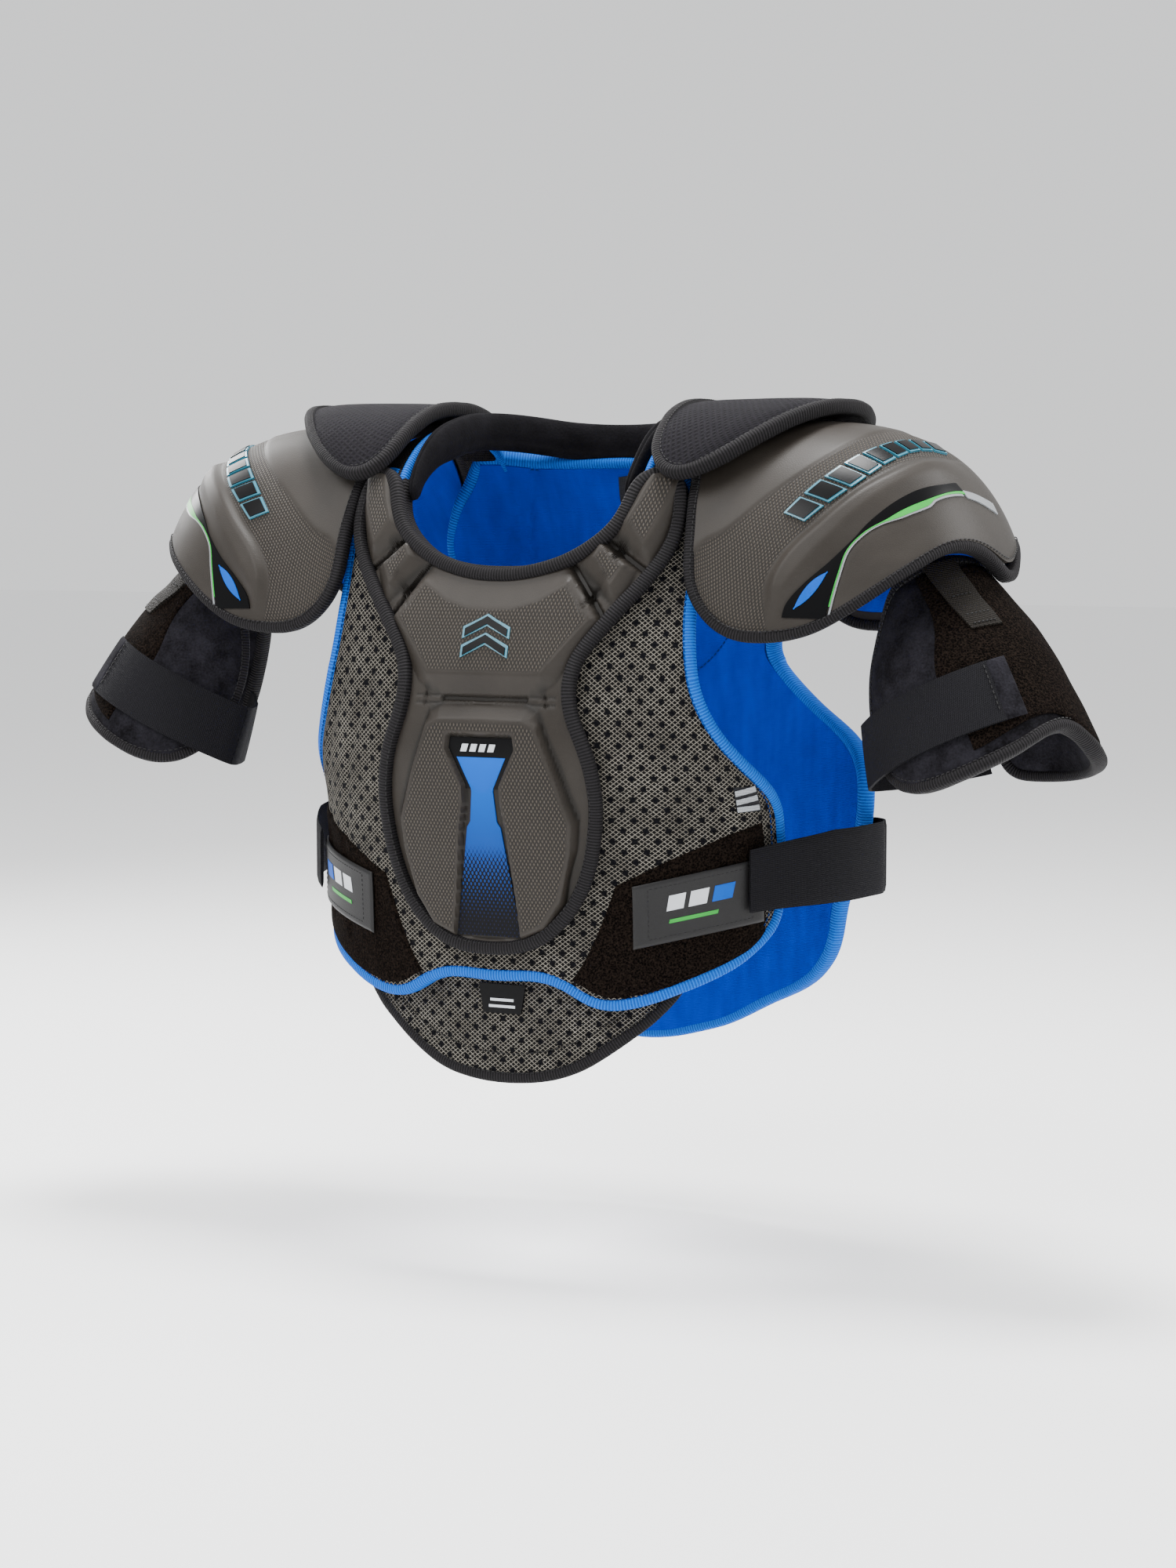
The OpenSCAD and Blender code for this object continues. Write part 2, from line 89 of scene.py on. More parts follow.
def curve(x: Number, points: Curve) -> Array:
    """Smooth curve through points, level past both ends.

    Args:
        x: Where to read it.
        points: (x, y) pairs in rising x.

    Returns:
        The curve's height at each x.
    """
    xs, ys = np.array(points, float).T
    last = len(xs) - 1
    low, high = np.maximum(np.arange(last + 1) - 1, 0), np.minimum(np.arange(last + 1) + 1, last)
    slope = (ys[high] - ys[low]) / (xs[high] - xs[low])
    x = np.clip(np.asarray(x, float), xs[0], xs[-1])
    i = np.clip(np.searchsorted(xs, x, side="right") - 1, 0, last - 1)
    w = xs[i + 1] - xs[i]
    t = (x - xs[i]) / w
    return (
        (2 * t**3 - 3 * t**2 + 1) * ys[i] + (t**3 - 2 * t**2 + t) * w * slope[i]
        + (3 * t**2 - 2 * t**3) * ys[i + 1] + (t**3 - t**2) * w * slope[i + 1]
    )


def ease(t: Number) -> Array:
    """A smooth step from 0 at t = 0 to 1 at t = 1."""
    t = np.clip(t, 0, 1)
    return t * t * (3 - 2 * t)


def run_of(points: Array) -> Array:
    """Distance of each point along its line."""
    return np.concatenate([[0], np.cumsum(np.linalg.norm(np.diff(points, axis=0), axis=1))])


def smooth_path(points: Array, count: int) -> tuple[Array, Array]:
    """A smooth line through points, as evenly spaced distances and the points at them."""
    run = run_of(points)
    even = np.linspace(0, run[-1], count)
    return even, np.stack([curve(even, np.stack([run, axis], -1)) for axis in points.T], -1)


def unit(v: Array) -> Array:
    """v scaled to length 1 along its last axis."""
    return v / np.maximum(np.linalg.norm(v, axis=-1, keepdims=True), 1e-12)


Skin = Callable[[Array, Array], Array]
BULGE = 2.4
CHEST_LINE = 150.0
BLADE_DIP = ((255, 0), (292, 17), (355, 17), (384, 0))
BLADE_DIP_START = ((84, 0), (108, 1), (130, 1))
CHEST_D = 104.0
ROUND_START, ROUND_RISE = 200.0, 210.0
BACK_HALF_W = 186.0
FRONT_HALF_W = ((150, 150), (185, 154), (255, 172))
CHEST_CROWN = ((70, 0), (120, 2), (165, 7), (215, 11), (245, 9), (285, 0), (320, -8), (350, -8), (372, -4))


def depth_at(x: Array, z: Array, half_w: Number) -> Array:
    """Depth of the torso's rounded section.

    Args:
        x: Distance from the middle plane.
        z: Height.
        half_w: Half width of the section below the shoulders.

    Returns:
        Distance of the surface in front of or behind the middle.
    """
    up = np.maximum(z - ROUND_START, 0) / ROUND_RISE
    k = np.where(z <= ROUND_START, 1, np.maximum(1 - up**4, 1e-4) ** (1 / BULGE))
    return CHEST_D * k * np.maximum(1 - (np.abs(x) / (half_w * k)) ** BULGE, 1e-4) ** (1 / BULGE)


def front_skin(a: Array, b: Array) -> Array:
    """Inside of the front panel: a is x and b is z."""
    crown = 1 + curve(b, CHEST_CROWN) / CHEST_D
    return np.stack([a, -depth_at(a, b, curve(b, FRONT_HALF_W)) * crown, b], -1)


def back_skin(a: Array, b: Array) -> Array:
    """Inside of the back panel: a is -x and b is z. It dips in beside the shoulder blades."""
    dip = curve(b, BLADE_DIP) * curve(np.abs(a), BLADE_DIP_START)
    return np.stack([-a, depth_at(a, b, BACK_HALF_W) - dip, b], -1)


def arch(a: Array, b: Array, r: Array, middle: float, depth: float, base: float, rise: float,
         power: float) -> Array:
    """A vault over the shoulder.

    Args:
        a: x.
        b: Angle from the front edge (0) over the top (90) to the rear (180).
        r: What is left of the section at this x, from 1 to 0.
        middle: y of the vault's middle.
        depth: Reach forwards and back.
        base: Height of its foot.
        rise: Height above that.
        power: Roundness over the top.

    Returns:
        Points on the vault.
    """
    c, s = np.cos(np.radians(b)), np.sin(np.radians(b))
    y = middle - depth * np.sign(c) * (r * c * c) ** (1 / BULGE)
    return np.stack([a, y, base + rise * (r * s * s) ** (1 / power)], -1)


def yoke_skin(a: Array, b: Array) -> Array:
    """Inside of the shoulder yoke."""
    return arch(a, b, 1 - (a / 178) ** BULGE, 0, CHEST_D, ROUND_START, ROUND_RISE, 4)


def cap_skin(a: Array, b: Array) -> Array:
    """Outside of a shoulder cap."""
    return arch(a, b, 1 - (np.maximum(a - 130, 0) / 163) ** 3.5, 3, 102, 270, 140, 2.2)


def lifted(skin: Skin, a: Array, b: Array, height: Number, step: float = 0.02) -> Array:
    """Points at a height above a surface.

    Args:
        skin: The surface.
        a: First coordinate.
        b: Second coordinate.
        height: Distance along the outward normal.
        step: Step for the normal.

    Returns:
        The points.
    """
    n = normal_of(skin, a, b, step)
    return skin(a, b) + n * np.asarray(height, float)[..., None]


def normal_of(skin: Skin, a: Array, b: Array, step: float = 0.02) -> Array:
    """Outward normals of a surface at (a, b)."""
    return unit(np.cross(skin(a + step, b) - skin(a - step, b), skin(a, b + step) - skin(a, b - step)))


def flap_bed(a: Array, b: Array) -> Array:
    """Underside of a shoulder flap, on its cap."""
    return lifted(cap_skin, a, b, 4.5 + 10 * np.cos(np.radians(b)) ** 2)


ARM_TOP = np.array([238.0, -6.0, 318.0])
ARM_WAY = unit(np.array([0.36, -0.14, -0.92]))
ARM_OUT = unit(np.array([1.0, 0, 0]) - ARM_WAY * ARM_WAY[0])
ARM_SIDE = np.cross(ARM_OUT, ARM_WAY)
ARM_RADIUS = ((-10, 27), (0, 30), (30, 42), (60, 54), (100, 63), (150, 70))
STRAP_LIFT = ((-262, -13.5), (-235, -22), (-207, -24), (-180, -16), (-165, -7), (-152, 3.6), (-140, 3.6),
              (-120, 2.8), (-40, 2.6))


def round_arm(a: Array, b: Array, lift: Number = 0) -> Array:
    """Points round the upper arm: a is the way down it and b the angle from its outside to its rear."""
    a, b = np.broadcast_arrays(np.asarray(a, float), np.radians(np.asarray(b, float)))
    r = curve(a, ARM_RADIUS) + lift
    outward = np.cos(b)[..., None] * ARM_OUT + np.sin(b)[..., None] * ARM_SIDE
    return ARM_TOP + a[..., None] * ARM_WAY + r[..., None] * outward


def strap_skin(a: Array, b: Array) -> Array:
    """Inside of the arm strap."""
    return round_arm(a, b, curve(b, STRAP_LIFT))


# ---- outlines ------------------------------------------------------------------------

NECKLINE = ((0, 316), (18, 317), (42, 324), (60, 337), (72, 352), (80, 372), (120, 374))
FRONT_WIDE = ((60, 142), (90, 145.5), (110, 147), (140, 147.6), (160, 148), (178, 148.5), (190, 147),
              (203, 141), (224, 130), (246, 122), (267, 118), (292, 116), (335, 115), (360, 110),
              (375, 103))
FRONT_HEM = ((0, 73), (38, 73), (68, 58), (90, 60), (108, 67), (136, 84), (148, 104))
PLATE_WIDE = ((87, 72), (168, 72), (190, 72), (212, 68), (232, 60), (246, 57.5), (262, 60), (286, 76),
              (309, 94), (336, 107), (360, 106), (375, 101))
PLATE_BOTTOM = ((0, 87), (18, 88), (35, 94), (49, 106), (60, 122), (68, 145), (72, 168))
BACK_WIDE = ((0, 140), (60, 144), (80, 146), (100, 148), (120, 155), (140, 165), (160, 173), (180, 176),
             (192, 174), (208, 160), (226, 130), (245, 106), (262, 93), (282, 99), (304, 114), (328, 121),
             (348, 116), (368, 106), (386, 98))
BACK_HEM = ((0, 5), (20, 7), (36, 11), (63, 19), (92, 34), (127, 52), (142, 70), (148, 90))
BACK_NECK = ((0, 384), (60, 384), (90, 387), (120, 386))
SPINE_WIDE = ((20, 48), (70, 58), (120, 54), (180, 42), (230, 38), (280, 42), (320, 56), (350, 70), (372, 74))
SPINE_BOTTOM = ((0, 30), (25, 32), (45, 40), (58, 60))
SPINE_TOP = ((0, 366), (40, 366), (74, 362))
BELLY_WIDE = ((8, 120), (100, 120), (150, 116))
BELLY_BOTTOM = ((0, 8), (25, 10), (50, 18), (80, 38), (100, 55), (113, 75), (120, 100))
BELLY_TOP = ((0, 148), (100, 146), (120, 140))
CAP_INNER = ((0, 122), (20, 120), (60, 113), (90, 108), (120, 113), (160, 120), (180, 122))
CAP_OUTER = ((0, 205), (14, 232), (30, 259), (60, 282), (90, 289), (120, 282), (150, 259), (166, 232),
             (180, 205))
CAP_LOW = ((0, 14), (0.12, 8), (0.3, 4.2), (0.6, 3.8), (0.8, 5.5), (0.9, 8.5), (1, 15))
FLAP_INNER = ((42, 94), (55, 88), (70, 85), (90, 84), (110, 85), (138, 92))
FLAP_OUTER = ((42, 122), (50, 140), (60, 158), (75, 176), (90, 184), (105, 183), (120, 172), (138, 140))
FLAP_FRONT = ((0, 47), (0.25, 42.5), (0.7, 42), (1, 45.5))
GUARD_FRONT = ((0, -118), (0.3, -142), (0.6, -146), (0.85, -136), (1, -122))
GUARD_REAR = 95.0
GUARD_BOTTOM = ((0, 130), (0.1, 135), (0.28, 130), (0.47, 119), (0.62, 138), (0.8, 137), (1, 122))
GUARD_TOP = ((0, 8), (0.3, 2), (0.6, 6), (1, 8))

Grid = tuple[Array, Array]


def panel_grid(wide: Curve, bottom: Curve, top: Curve, inset: float, cols: int, rows: int) -> Grid:
    """Places on a panel that is mirrored about the middle.

    Args:
        wide: Half width at each height.
        bottom: Height of the lower edge at each distance from the middle.
        top: Height of the upper edge likewise.
        inset: Distance inside the outline.
        cols: Columns each side of the middle.
        rows: Rows.

    Returns:
        x and z, with a row for each step up.
    """
    g = np.sin(np.radians(75 * np.arange(-cols, cols + 1) / cols)) / math.sin(math.radians(75))
    low_w, top_w = curve(bottom[-1][1], wide), curve(1000, wide)
    low = curve(np.abs(g) * low_w, bottom) + inset
    high = curve(np.abs(g) * top_w, top) - inset
    t = np.linspace(0, 1, rows + 1)[:, None]
    z = low + (high - low) * t
    return g * (curve(z, wide) - inset), z


def cap_grid(trim_x: float, trim_b: float, cols: int, rows: int) -> Grid:
    """x and angle on a cap, trimmed by a share of its width and of its arch, a row for each angle."""
    s = np.linspace(trim_x, 1 - trim_x, cols + 1)[None, :]
    t = np.linspace(trim_b, 1 - trim_b, rows + 1)[:, None]
    low = curve(s, CAP_LOW)
    b = low + (180 - 2 * low) * t
    return curve(b, CAP_INNER) * (1 - s) + curve(b, CAP_OUTER) * s, b


def flap_grid(inset: float, cols: int, rows: int) -> Grid:
    """x and angle on a flap, inset in mm."""
    s, t = np.linspace(0, 1, cols + 1)[None, :], np.linspace(0, 1, rows + 1)[:, None]
    front = curve(s, FLAP_FRONT) + inset * 0.6
    b = front + (180 - 2 * front) * t
    inner, outer = curve(b, FLAP_INNER) + inset, curve(b, FLAP_OUTER) - inset
    return inner * (1 - s) + outer * s, b


def guard_grid(inset: float, cols: int, rows: int) -> Grid:
    """Way down the arm and angle on a guard, inset in mm and degrees, a row for each angle."""
    t, s = np.linspace(0, 1, cols + 1)[None, :], np.linspace(0, 1, rows + 1)[:, None]
    top, bottom = curve(s, GUARD_TOP) + inset, curve(s, GUARD_BOTTOM) - inset
    front = curve(t, GUARD_FRONT) + inset
    return top * (1 - t) + bottom * t, front * (1 - s) + (GUARD_REAR - inset) * s


def edge_of(grid: Grid) -> Grid:
    """The places round the edge of a grid, with its corners cut a little."""
    cut = 2
    return tuple(
        np.concatenate([g[0, cut:-cut], g[cut:-cut, -1], g[-1, cut:-cut][::-1], g[cut:-cut, 0][::-1]])
        for g in grid
    )


def even_loop(skin: Skin, loop: Grid, spacing: float, rounds: int = 12) -> Grid:
    """A closed loop of places, rounded at its corners and evenly spaced.

    Args:
        skin: The surface that it lies on.
        loop: The places.
        spacing: Distance between them in mm.
        rounds: How often the corners are rounded.

    Returns:
        The new places.
    """
    for _ in range(3):
        points = skin(*loop)
        gaps = np.linalg.norm(np.roll(points, -1, 0) - points, axis=1)
        along = np.concatenate([[0], np.cumsum(gaps)])
        wanted = np.linspace(0, along[-1], int(along[-1] / spacing) + 1)[:-1]
        loop = tuple(np.interp(wanted, along, np.append(c, c[0])) for c in loop)
        for _ in range(rounds):
            loop = tuple(0.25 * np.roll(c, 1) + 0.5 * c + 0.25 * np.roll(c, -1) for c in loop)
    return loop


def both_sides(half: Curve) -> Array:
    """A closed outline from its half at positive x, top to bottom."""
    half = np.array(half, float)
    return np.concatenate([half, half[::-1] * [-1, 1]])


def outside(points: Array, x: Array, y: Array) -> Array:
    """Signed distance from a closed outline, negative inside it."""
    points = np.asarray(points, float)
    best, inside = np.full(np.shape(x), 1e9), np.zeros(np.shape(x), bool)
    for (x0, y0), (x1, y1) in zip(points, np.roll(points, -1, 0)):
        ex, ey = x1 - x0, y1 - y0
        t = np.clip(((x - x0) * ex + (y - y0) * ey) / max(ex * ex + ey * ey, 1e-9), 0, 1)
        best = np.minimum(best, np.hypot(x - x0 - t * ex, y - y0 - t * ey))
        if abs(ey) > 1e-9:
            inside ^= ((y0 > y) != (y1 > y)) & (x < x0 + (y - y0) * ex / ey)
    return np.where(inside, -best, best)


def raised(foot: Array, top: Array, x: Array, y: Array) -> Array:
    """How far up a moulded block a place is: 0 outside its foot, 1 on its top, a bevel between."""
    foot_in, top_out = -outside(foot, x, y), outside(top, x, y)
    t = foot_in / np.maximum(foot_in + np.maximum(top_out, 0), 1e-6)
    return np.where(foot_in <= 0, 0, np.where(top_out <= 0, 1, t))


def beside(start: tuple[float, float], end: tuple[float, float], x: Array, y: Array) -> Array:
    """Distance from a straight line between two places."""
    (x0, y0), (x1, y1) = start, end
    ex, ey = x1 - x0, y1 - y0
    t = np.clip(((x - x0) * ex + (y - y0) * ey) / (ex * ex + ey * ey), 0, 1)
    return np.hypot(x - x0 - t * ex, y - y0 - t * ey)


# ---- meshes -----------------------------------------------------------------------------


def set_uv(mesh: bpy.types.Mesh, places: Array) -> None:
    """Gives each corner of a mesh the UV place of its point."""
    order = np.empty(len(mesh.loops), np.int32)
    mesh.loops.foreach_get("vertex_index", order)
    mesh.uv_layers[0].data.foreach_set("uv", places[order].astype(np.float32).ravel())


def make_piece(name: str, points: Array, faces: Sequence[Sequence[int]], side: Side = Side.LEFT,
               corners: Optional[Array] = None, masks: Optional[dict[str, Array]] = None,
               crease: float = 40) -> bpy.types.Object:
    """A mesh object at the origin, mirrored for the right side.

    Args:
        name: The piece's name.
        points: Points in mm on the wearer's left.
        faces: Point numbers of each face, outward.
        side: The side it is on.
        corners: UV of each point, in metres.
        masks: Named values of each point.
        crease: Angle in degrees past which an edge stays sharp.

    Returns:
        The object.
    """
    mesh = bpy.data.meshes.new(name)
    points = points * [MM * side.value, MM, MM]
    if side is Side.RIGHT:
        faces = [tuple(reversed(f)) for f in faces]
    mesh.from_pydata(points.tolist(), [], faces)
    if corners is not None:
        mesh.uv_layers.new(name="UVMap")
        set_uv(mesh, corners)
    for key, values in (masks or {}).items():
        mesh.attributes.new(key, "FLOAT", "POINT").data.foreach_set("value", values.astype(np.float32))
    mesh.polygons.foreach_set("use_smooth", np.ones(len(mesh.polygons), bool))
    mesh.set_sharp_from_angle(angle=math.radians(crease))
    piece = bpy.data.objects.new(name, mesh)
    bpy.context.scene.collection.objects.link(piece)
    return piece


def unrolled(skin: Skin, a: Array) -> Array:
    """Distance of each place from the vest's middle, measured round a level line at chest height."""
    reach = np.linspace(0, 186, 280)
    path = skin(reach, np.full_like(reach, CHEST_LINE))
    return np.sign(a) * np.interp(np.abs(a), reach, run_of(path))


def hollow(height: Array) -> Array:
    """How far each place lies below those around it, from 0 to 1: the share of painted shade that the foam
    gets there.
    """
    steps = [(i, j) for i in (-2, 0, 2) for j in (-3, 0, 3)]
    around = sum(np.roll(height, step, (0, 1)) for step in steps) / len(steps)
    return np.clip((around - height) / 0.7, 0, 1)


def shell(name: str, skin: Skin, grid: Grid, low: Number, high: Number, side: Side = Side.LEFT,
          masks: Optional[dict[str, Array]] = None, soft_rim: float = 0) -> bpy.types.Object:
    """A closed solid between two heights above a surface.

    Args:
        name: The piece's name.
        skin: The surface.
        grid: Places on it.
        low: Height of the inside.
        high: Height of the outside, one number or one for each place.
        side: The side it is on.
        masks: Named values of each place.
        soft_rim: Rows of the edge over which the outside rounds down to the inside.

    Returns:
        The object.
    """
    a, b = grid
    rows, cols = a.shape
    high = np.broadcast_to(np.asarray(high, float), a.shape)
    low = np.broadcast_to(np.asarray(low, float), a.shape)
    if soft_rim:
        i, j = np.mgrid[0:rows, 0:cols]
        rim = np.minimum(np.minimum(i, rows - 1 - i), np.minimum(j, cols - 1 - j)) / soft_rim
        fall = np.sqrt(np.clip(1 - (1 - np.clip(rim, 0, 1)) ** 2, 0, 1))
        middle = (high + low) / 2
        kept = 0.25 + 0.75 * fall
        high, low = middle + (high - middle) * kept, middle + (low - middle) * kept
    outer, inner = lifted(skin, a, b, high), lifted(skin, a, b, low)
    n = np.arange(rows * cols).reshape(rows, cols)
    quads = np.stack([n[:-1, :-1], n[:-1, 1:], n[1:, 1:], n[1:, :-1]], -1).reshape(-1, 4)
    rim_line = np.concatenate([n[0, :-1], n[:-1, -1], n[-1, :0:-1], n[:0:-1, 0]])
    after = np.roll(rim_line, -1)
    size = rows * cols
    walls = np.stack([rim_line, rim_line + size, after + size, after], -1)
    faces = np.concatenate([quads, quads[:, ::-1] + size, walls]).tolist()
    if skin in (front_skin, back_skin):
        across, along = unrolled(skin, a), b
    else:
        steps = [np.cumsum(np.linalg.norm(np.diff(outer, axis=axis), axis=2), axis) for axis in (0, 1)]
        along, across = np.pad(steps[0], ((1, 0), (0, 0))), np.pad(steps[1], ((0, 0), (1, 0)))
        across = across - across[:, cols // 2][:, None]
    uv = np.tile(np.stack([across, along], -1).reshape(-1, 2) * MM, (2, 1))
    doubled = {key: np.tile(np.broadcast_to(v, a.shape).ravel(), 2) for key, v in (masks or {}).items()}
    points = np.concatenate([outer.reshape(-1, 3), inner.reshape(-1, 3)])
    return make_piece(name, points, faces, side, uv, doubled)


def tube_faces(rings: int, size: int, capped: bool) -> list[list[int]]:
    """Faces between rings of points, and over both ends where it is capped."""
    n = np.arange(rings * size).reshape(rings, size)
    turned = np.roll(n, -1, 1)
    faces = np.stack([n[:-1], turned[:-1], turned[1:], n[1:]], -1).reshape(-1, 4).tolist()
    return faces + [n[0, ::-1].tolist(), n[-1].tolist()] if capped else faces


def rings_to_piece(name: str, rings: Array, along: Array, closed: bool, side: Side,
                   crease: float = 50) -> bpy.types.Object:
    """A solid whose sections are rings of points.

    Args:
        name: The piece's name.
        rings: Points as (ring, point, 3), turning so that faces point outwards.
        along: Distance of each ring along the piece in mm.
        closed: Whether the last ring joins the first.
        side: The side it is on.
        crease: Sharp edge angle in degrees.

    Returns:
        The object.
    """
    count, size = rings.shape[:2]
    if closed:
        rings = np.concatenate([rings, rings[:1]])
        along = np.append(along, along[-1] + np.linalg.norm(rings[-1, 0] - rings[-2, 0]))
    faces = tube_faces(len(rings), size, capped=not closed)
    around = np.linspace(0, 1, size + 1)[:-1]
    uv = np.stack(np.broadcast_arrays(along[:, None] * MM, around[None, :]), -1).reshape(-1, 2)
    piece = make_piece(name, rings.reshape(-1, 3), faces, side, uv, crease=crease)
    if closed:
        weld(piece)
    return piece


def weld(piece: bpy.types.Object, reach: float = 0.00001) -> None:
    """Joins points of a piece that lie on each other."""
    built = bmesh.new()
    built.from_mesh(piece.data)
    bmesh.ops.remove_doubles(built, verts=built.verts, dist=reach)
    built.to_mesh(piece.data)
    built.free()


def wander(count: int, turns: int, size: float, seed: int) -> Array:
    """A closed smooth random wave of that many values, for sewn edges that are never quite straight."""
    rng = np.random.default_rng(SEED + seed)
    t = np.linspace(0, 2 * math.pi, count, endpoint=False)
    waves = [rng.normal() / k**0.5 * np.sin(k * t + rng.uniform(0, 6.3)) for k in range(2, turns)]
    return size * np.sum(waves, 0) / max(len(waves) ** 0.5, 1)


def tape(name: str, skin: Skin, grid: Grid, wide: float, low: float, high: float, side: Side = Side.LEFT,
         seed: int = 0) -> bpy.types.Object:
    """Folded tape round the edge of a panel, a rounded bead that grips both faces.

    Args:
        name: The piece's name.
        skin: The panel's surface.
        grid: The panel's places, out to the edge's middle.
        wide: Width of the fold.
        low: Height of its inner face.
        high: Height of its outer face.
        side: The side it is on.
        seed: Number that sets its small waves.

    Returns:
        The object.
    """
    a, b = even_loop(skin, edge_of(grid), 1.6)
    base, up = skin(a, b), normal_of(skin, a, b)
    way = unit(np.roll(base, -1, 0) - np.roll(base, 1, 0))
    out = unit(np.cross(way, up))
    angle = np.linspace(0, 2 * math.pi, 14, endpoint=False)
    c, s = np.cos(angle), np.sin(angle)
    flat = np.sign(c) * np.abs(c) ** 0.8 * wide / 2
    thick = np.sign(s) * np.abs(s) ** 0.62 * (high - low) / 2
    swell = 1 + wander(len(a), 40, 0.05, seed)
    drift = wander(len(a), 24, 0.35, seed + 1)
    rings = (
        base[:, None] + out[:, None] * (flat[None, :] * swell[:, None] + drift[:, None])[..., None]
        + up[:, None] * ((high + low) / 2 + thick[None, :] * swell[:, None])[..., None]
    )
    gaps = np.linalg.norm(np.roll(base, -1, 0) - base, axis=1)
    along = np.concatenate([[0], np.cumsum(gaps)[:-1]])
    return rings_to_piece(name, rings, along, True, side)


def stitches(name: str, skin: Skin, line: Grid, height: Number, side: Side = Side.LEFT, pitch: float = 3.4,
             length: float = 2.5, radius: float = 0.42, closed: bool = True) -> bpy.types.Object:
    """A row of lockstitches on a surface.

    Args:
        name: The piece's name.
        skin: The surface.
        line: Places along the row, close together.
        height: Height of the row, one number or one for each place.
        side: The side it is on.
        pitch: Distance from stitch to stitch.
        length: Length of the thread that shows.
        radius: Half the thread's thickness.
        closed: Whether the row ends where it starts.

    Returns:
        One object with every stitch.
    """
    points, up = lifted(skin, *line, height), normal_of(skin, *line)
    if closed:
        points, up = np.concatenate([points, points[:1]]), np.concatenate([up, up[:1]])
    along = run_of(points)
    centres = np.arange(pitch / 2, along[-1], pitch)
    at = np.stack([np.interp(centres, along, points[:, k]) for k in range(3)], -1)
    normal = unit(np.stack([np.interp(centres, along, up[:, k]) for k in range(3)], -1))
    ahead = np.stack([np.interp(centres + 0.8, along, points[:, k]) for k in range(3)], -1)
    behind = np.stack([np.interp(centres - 0.8, along, points[:, k]) for k in range(3)], -1)
    way = unit(ahead - behind)
    across = unit(np.cross(normal, way))
    stations = np.array([(-0.5, 0.3, -0.5), (-0.32, 0.95, 0.25), (0.32, 0.95, 0.25), (0.5, 0.3, -0.5)])
    ring = np.radians(np.arange(0, 360, 60))
    body = (
        at[:, None, None]
        + way[:, None, None] * (stations[:, 0] * length)[None, :, None, None]
        + normal[:, None, None] * (stations[:, 2] * radius)[None, :, None, None]
        + across[:, None, None] * (stations[:, 1, None] * np.cos(ring) * radius)[None, ..., None]
        + normal[:, None, None] * (stations[:, 1, None] * np.sin(ring) * radius)[None, ..., None]
    )
    each, one = len(stations) * len(ring), tube_faces(len(stations), len(ring), True)
    faces = [[v + each * k for v in f] for k in range(len(at)) for f in one]
    return make_piece(name, body.reshape(-1, 3), faces, side)


def pillow(rows: int, cols: int, edge: int, size: float) -> Array:
    """Height of padding that rises from sewn edges.

    Args:
        rows: Rows of the grid.
        cols: Columns.
        edge: Steps over which it rises.
        size: Height in the middle.

    Returns:
        The extra height at each place.
    """
    i, j = np.mgrid[0:rows, 0:cols]
    rise = lambda t: np.sqrt(np.clip(1 - (1 - np.clip(t / edge, 0, 1)) ** 2, 0, 1))
    return size * rise(np.minimum(i, rows - 1 - i)) * rise(np.minimum(j, cols - 1 - j))


def creases(shape: tuple[int, int], size: float, seed: int, wave: float = 9) -> Array:
    """Soft random unevenness over a grid, of a height in mm."""
    rng = np.random.default_rng(SEED * 31 + seed)
    i, j = np.mgrid[0 : shape[0], 0 : shape[1]]
    total = np.zeros(shape)
    for _ in range(14):
        angle, k = rng.uniform(0, math.pi), rng.uniform(0.5, 1.6) / wave
        total += np.sin((i * math.cos(angle) + j * math.sin(angle)) * k + rng.uniform(0, 6.3))
    return size * total / 14**0.5


# ---- finishes -------------------------------------------------------------------------------

Socket = bpy.types.NodeSocket
Wiring = Callable[..., Socket]
SHADE_A, SHADE_B = 6, 7  # the colour inputs of a Mix node
USUAL = {
    "Attribute": ("Fac", {}),
    "Mix": (2, {"data_type": "RGBA"}),
    "SeparateXYZ": ("Y", {}),
    "TexCoord": ("Object", {}),
    "TexWave": ("Fac", {"bands_direction": "X", "wave_profile": "SIN"}),
    "UVMap": (0, {"uv_map": "UVMap"}),
}


def colour(code: str) -> tuple[float, float, float, float]:
    """An sRGB hex colour as linear red, green, blue and alpha."""
    channels = [int(code[i : i + 2], 16) / 255 for i in (1, 3, 5)]
    linear = [c / 12.92 if c <= 0.04045 else ((c + 0.055) / 1.055) ** 2.4 for c in channels]
    return (linear[0], linear[1], linear[2], 1.0)


def add_node(tree: bpy.types.NodeTree, kind: str, inputs: Optional[dict] = None,
             **settings: object) -> Optional[Socket]:
    """Adds a node with its settings and links.

    Args:
        tree: The material's node tree.
        kind: The node's type after "ShaderNode".
        inputs: Input name or number to a value, a hex colour or an output to link.
        settings: The node's own settings, over the usual ones of its kind.

    Returns:
        The output that is used, or None where the node has none.
    """
    node = tree.nodes.new("ShaderNode" + kind)
    out, usual = USUAL.get(kind, (0, {}))
    for key, value in {**usual, **settings}.items():
        setattr(node, key, value)
    for key, value in (inputs or {}).items():
        if isinstance(value, Socket):
            tree.links.new(value, node.inputs[key])
        else:
            node.inputs[key].default_value = colour(value) if isinstance(value, str) else value
    return node.outputs[out] if len(node.outputs) else None


